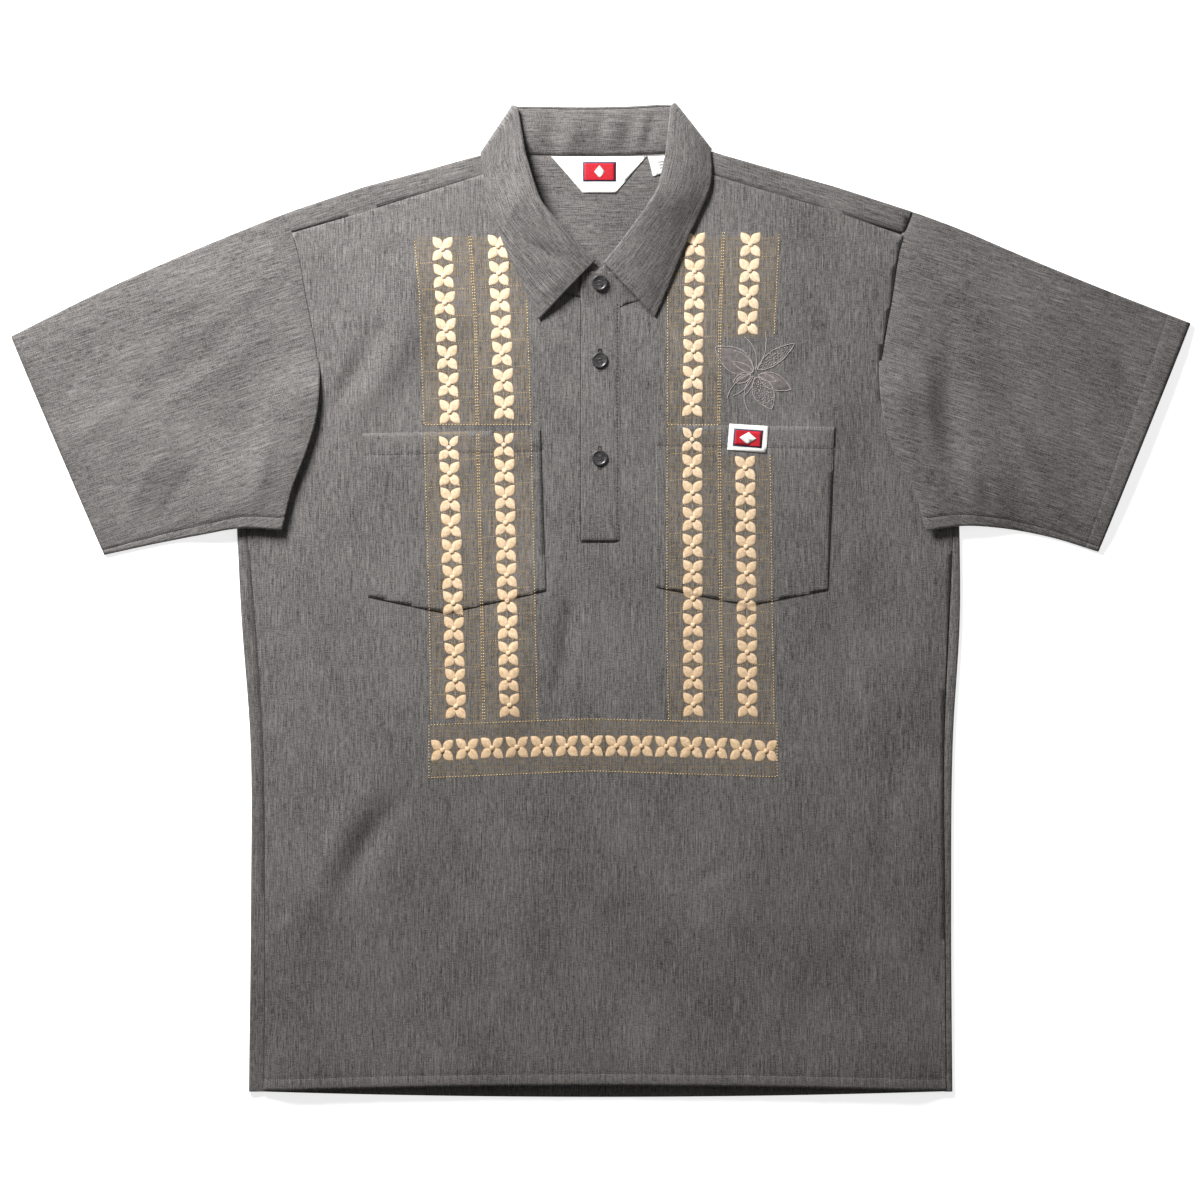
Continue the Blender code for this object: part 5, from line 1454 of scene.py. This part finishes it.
def makeMotif():
    middle = np.array(motif["middle"])
    outlines, seeds, seedTurns = [], [], []
    fills = bmesh.new()
    draw = np.random.default_rng(3)
    for i, angle in enumerate(motif["petalAngle"]):
        start = middle + (motif["petalX"][i], motif["petalY"][i])
        length, half = motif["petalLength"][i], motif["petalHalfWidth"][i]
        outlines.append(teardrop(start, angle, length, half))
        c, s = math.cos(math.radians(angle)), math.sin(math.radians(angle))
        if motif["petalSeeds"][i]:
            for along in np.arange(3.5, length - 3, 2.0):
                wide = half * math.sin(math.pi * (along / length) ** 0.85) ** 0.8 - 1.4
                for across in np.arange(-wide, wide + 0.1, 2.0):
                    a, b = along + draw.uniform(-0.6, 0.6), across + draw.uniform(-0.5, 0.5)
                    seeds.append((start[0] + a * c - b * s, start[1] + a * s + b * c))
                    seedTurns.append(draw.uniform(0, math.pi))
        else:
            petal(fills, math.radians(angle), length - 1.2, 1.2, half - 1.0, 0.42)
            fresh = [vert for vert in fills.verts if not vert.tag]
            bmesh.ops.translate(fills, vec=(*start, 0), verts=fresh)
            for vert in fresh:
                vert.tag = True
    for face in fills.faces:
        face.material_index = 0
    points = np.array([vert.co for vert in fills.verts])
    for vert, height in zip(fills.verts, topOfFront(points[:, 0], points[:, 1])):
        vert.co.z += height + 0.02
    bmesh.ops.remove_doubles(fills, verts=fills.verts, dist=0.02)
    fill = makePiece("motifPetals", fills, [mauveFill])
    for i, reach in enumerate(motif["tendrilReach"]):
        t = np.linspace(0, 1, 16)
        first, last = motif["tendrilFrom"][i], motif["tendrilTo"][i]
        turn = np.radians(first + (last - first) * t**1.4)
        away = 3 + (reach - 3) * t
        outlines.append(middle + np.stack([np.cos(turn), np.sin(turn)], 1) * away[:, None])
    for i in (0, 2):  # a loop inside the two widest petals
        start = middle + (motif["petalX"][i], motif["petalY"][i])
        outlines.append(teardrop(start, motif["petalAngle"][i] + 6, motif["petalLength"][i] * 0.52, 2.6))
    places, angles = dashes(outlines, 0.05, 1.0)
    lines = copies("motifOutlines", grain(), [mauveThread], places, angles, (1.6, 0.85, 0.7),
                   lambda x, y: topOfFront(x, y) + 0.22)
    dots = copies("motifSeeds", grain(), [mauveThread], seeds, seedTurns, (1.35, 0.8, 0.6),
                  lambda x, y: topOfFront(x, y) + 0.15)
    return fill, lines, dots


# Seam and edge stitches


def sewn(name, thread, stitched, size):  # one piece from several runs of spots and the ways they lie
    spots, turns = zip(*stitched)
    return copies(name, grain(), [thread], np.concatenate(spots), np.concatenate(turns), size)


def makeSeamStitches(sleevePointsOf, leafPoints):
    paths = [[(x, shirt["hemY"] + shirt["hemStitch"] + hemShift(x, shirt["hemY"] + 5, shirt["hemRiseFront"]))
              for x in range(-268, 273, 6)]]  # on the front and what lies on it, draped from above
    for side in outward:
        corners = np.array(pockets[side])
        middle = corners.mean(0)
        inner = [c + (middle - c) / np.linalg.norm(middle - c) * 2.6 for c in corners]
        paths.append([*inner[1:], inner[0]])
        drop = np.array([0, -pockets["hemStitch"]])
        paths.append([corners[0] + drop + (2, 0), corners[1] + drop - (2, 0)])
    stitchX, left, right = placket["stitchX"], placket["left"] + 1.8, placket["right"] - 1.6
    bottom, box = placket["bottom"] + 1.8, placket["boxTop"]
    onPlacket = [
        [(stitchX, placket["stitchTop"]), (stitchX, box)],
        [(left, box), (right, box), (right, bottom), (left, bottom), (left, box)],
        [(left, bottom), (right, box)],
    ]
    places, angles = dashes(paths, 0.04, 3.2)
    places2, angles2 = dashes(onPlacket, 0.04, 3.0)
    z = topOfFront(places[:, 0], places[:, 1]) + 0.02
    z2 = topOfFront(places2[:, 0], places2[:, 1]) + shirt["layerStep"] + 0.02
    stitched = [(np.column_stack([places, z]), angles), (np.column_stack([places2, z2]), angles2)]
    onSleeve, onLeaf = (0, 0, shirt["wall"] / 2 - 0.02), (0, 0, collar["leafWall"] / 2)
    stitched += [spaced(points[sleeves["hemRow"], 3:56] + onSleeve, 3.2) for points in sleevePointsOf]
    edge = leafPoints[:, -5] + onLeaf
    above = np.flatnonzero(edge[:, 2] > 4.5)
    split = np.flatnonzero(np.diff(above) > 1)
    stitched += [spaced(edge[part], 3.0) for part in np.split(above, split + 1) if len(part) > 5]
    leafEnds = leafPoints[[2, -3], 9:-5]
    stitched += [spaced(end + onLeaf, 3.0) for end in leafEnds]
    return sewn("tonalStitches", sewingThread, stitched, (2.3, 0.55, 0.42))


def makePaintedSeamShade(sleeveLines):  # painted shade: dark stitch-shaped strips down the side seams, the armholes and the sleeves' underarm seams, and beside the placket's left edge, where shade falls
    paths = [[(placket["left"] - 0.5, placket["bottom"]), (placket["left"] - 0.5, placket["climbFrom"])]]
    for side in outward:
        y = np.linspace(shirt["hemY"] + 8, 40, 60)
        paths.append(np.stack([sideX(side, "Seam", y) - outward[side] * 0.5, y], 1))
        y = np.linspace(112, 290, 60)
        paths.append(np.stack([armholeX(side, y), y], 1))
    places, angles = dashes(paths, 0.02, 2.2)
    height = frontMiddle(places[:, 0], places[:, 1]) + shirt["wall"] / 2 + 0.05
    onSeam = (0, 0, shirt["wall"] / 2 + 0.1)
    stitched = [(np.column_stack([places, height]), angles)]
    stitched += [spaced(line[2:] + onSeam, 2.2) for line in sleeveLines]
    return sewn("paintedSeamShadeLines", buttonholeThreadAndSeamShade, stitched, (2.6, 0.8, 0.5))


buttonhole = {
    "x": -1.0,
    "middleY": (191.3, 113.4),
    "half": 8.6,
    "toSide": 1.15,  # from the slit to the row of stitches on each side
    "pitch": 0.75,
    "toBar": 0.4,  # from the slit's end to the bar that closes it
    "barAt": (-0.9, -0.3, 0.3, 0.9),
}


def makeButtonholes():
    spots, turns = [], []
    x, half = buttonhole["x"], buttonhole["half"]
    for y in buttonhole["middleY"]:
        lift = float(topOfFront(x, y)) + shirt["layerStep"]
        for sign in (-1, 1):
            along = np.arange(-half, half + 0.1, buttonhole["pitch"])
            spots += [(x + buttonhole["toSide"] * sign, y + k, lift) for k in along]
            turns += [0.0] * len(along)
        for sign in (-1, 1):
            end = sign * (half + buttonhole["toBar"])
            spots += [(x + k, y + end, lift) for k in buttonhole["barAt"]]
            turns += [math.pi / 2] * len(buttonhole["barAt"])
    return copies("buttonholeStitches", grain(), [buttonholeThreadAndSeamShade], spots, turns, (1.5, 0.7, 0.5))


def alongAcross(points):  # a band's weave: across it, and along it
    steps = np.cumsum(np.linalg.norm(np.diff(points, axis=1), axis=2), 1)
    across = np.concatenate([np.zeros((len(points), 1)), steps], 1)
    middle = points[:, points.shape[1] // 2]
    along = np.concatenate([[0], np.cumsum(np.linalg.norm(np.diff(middle, axis=0), axis=1))])
    return np.stack([np.broadcast_to(along[:, None], across.shape), across], 2)


# Putting the shirt together

back, backCut = makeBack()
front, frontCut = makeFront()
yoke, yokeCut = makeYoke()
print("body panels laid")
sleeveRight, sleeveRightCut, rightPoints, rightSeamLine = makeSleeve("right")
sleeveLeft, sleeveLeftCut, leftPoints, leftSeamLine = makeSleeve("left")
print("sleeves laid")
stations = collarStations()
standPoints, leafPoints = makeStand(stations), makeLeaf(stations)
atBack = (standPoints[:, :1, 1] > collar["backFrom"])[..., None]
standWeave = np.where(atBack, standPoints[..., [1, 0]], standPoints[..., :2])
stand = makePiece("collarStand", gridSheet(standPoints, standWeave), [cloth], shirt["wall"])
leafWeave = alongAcross(leafPoints)[..., ::-1]
leaf = makePiece("collarLeaf", gridSheet(leafPoints, leafWeave), [cloth], collar["leafWall"])
print("collar set")
(placketBand, placketCut), (underBand, underCut) = makePlacket()
pocketRight, pocketRightCut = makePocket("right")
pocketLeft, pocketLeftCut = makePocket("left")
ribbons, ribbonFields = makeLabels()
print("placket, pockets and labels sewn on")
buttonPieces = [makeButton(f"button{i}", f"button_{i}") for i in (1, 2, 3)]
flowers = makeFlowers()
goldStitches = makeGoldStitches()
crossRows = makeCrossRows()
motifPieces = makeMotif()
print("embroidery worked")
tonalStitches = makeSeamStitches((rightPoints, leftPoints), leafPoints)
buttonholes = makeButtonholes()
paintedSeamShade = makePaintedSeamShade((rightSeamLine, leftSeamLine))
print("seams stitched")

declare(back, ["back_body"], backCut)
declare(front, ["front_body"], frontCut,
        [flowers, goldStitches, crossRows, *motifPieces, tonalStitches, paintedSeamShade])
declare(yoke, ["yoke"], yokeCut)
declare(sleeveRight, ["sleeve_right"], sleeveRightCut)
declare(sleeveLeft, ["sleeve_left"], sleeveLeftCut)
declare(stand, ["collar_stand"], gridSize(standPoints))
declare(leaf, ["collar_leaf"], gridSize(leafPoints))
declare(placketBand, ["placket_top"], placketCut,
        [buttonholes])
declare(underBand, ["placket_under"], underCut)
declare(pocketRight, ["pocket_right"], pocketRightCut)
declare(pocketLeft, ["pocket_left"], pocketLeftCut)
for key, under in (("pocket", "pocketLeft"), ("neck", "yokePanel"), ("size", "yokePanel")):
    piece, cut = ribbons[key]
    for field in ribbonFields[key]:
        declare(field)
    declare(piece, [key + "_label"], cut, ribbonFields[key])
for i, (body, thread) in enumerate(buttonPieces):
    declare(body, [f"button_{i + 1}"])
    declare(thread)
for piece in (flowers, goldStitches, crossRows, *motifPieces, tonalStitches, paintedSeamShade, buttonholes):
    declare(piece)

# Table, light and camera

studio = {
    "frameWidth": 0.96,  # metres of table across the picture
    "lens": 100.0,
    "sensor": 36.0,
    "middleX": -0.0008,
    "floor": "#FAFAFA",
    "floorShade": "#F4F4F4",
    "floorGlow": 0.7,
    "keyPlace": (-0.66, 1.0, 0.75),
    "keySize": 0.55,
    "keyPower": 42.5,
    "fillPlace": (1.5, 0.3, 1.5),
    "fillPower": 4.0,
    "sky": 0.1,
}


def makeStudio():
    scene = bpy.context.scene
    sheet = bmesh.new()
    bmesh.ops.create_grid(sheet, x_segments=1, y_segments=1, size=4000)
    material, tree, shader = newMaterial("matPaintedTable", 0.9, specular=0.1)
    place = addNode(tree, "ShaderNodeTexCoord", {}, "Object")
    tones = {0: streaks(tree, place, 300, 300), 6: colour(studio["floor"]), 7: colour(studio["floorShade"])}
    tree.links.new(addNode(tree, "ShaderNodeMix", tones, 2, data_type="RGBA"), shader.inputs["Base Color"])
    shader.inputs["Emission Color"].default_value = (1, 1, 1, 1)
    shader.inputs["Emission Strength"].default_value = studio["floorGlow"]
    floor = makePiece("table", sheet, [material])
    for name, spot, power, size in (
        ("keyLight", studio["keyPlace"], studio["keyPower"], studio["keySize"]),
        ("fillLight", studio["fillPlace"], studio["fillPower"], 1.6),
    ):
        light = bpy.data.lights.new(name, "AREA")
        light.shape, light.size, light.energy = "DISK", size, power
        lamp = bpy.data.objects.new(name, light)
        lamp.location = spot
        lamp.rotation_euler = (-Vector(spot)).to_track_quat("-Z", "Y").to_euler()
        scene.collection.objects.link(lamp)
    world = bpy.data.worlds.new("softBox")
    world.use_nodes = True
    world.node_tree.nodes["Background"].inputs[0].default_value = (1, 1, 1, 1)
    world.node_tree.nodes["Background"].inputs[1].default_value = studio["sky"]
    scene.world = world
    camera = bpy.data.cameras.new("camera")
    camera.lens, camera.sensor_width = studio["lens"], studio["sensor"]
    camera.clip_end = 20
    eye = bpy.data.objects.new("camera", camera)
    eye.location = (studio["middleX"], 0, studio["frameWidth"] * studio["lens"] / studio["sensor"])
    scene.collection.objects.link(eye)
    scene.camera = eye
    scene.view_settings.view_transform = "Standard"


makeStudio()
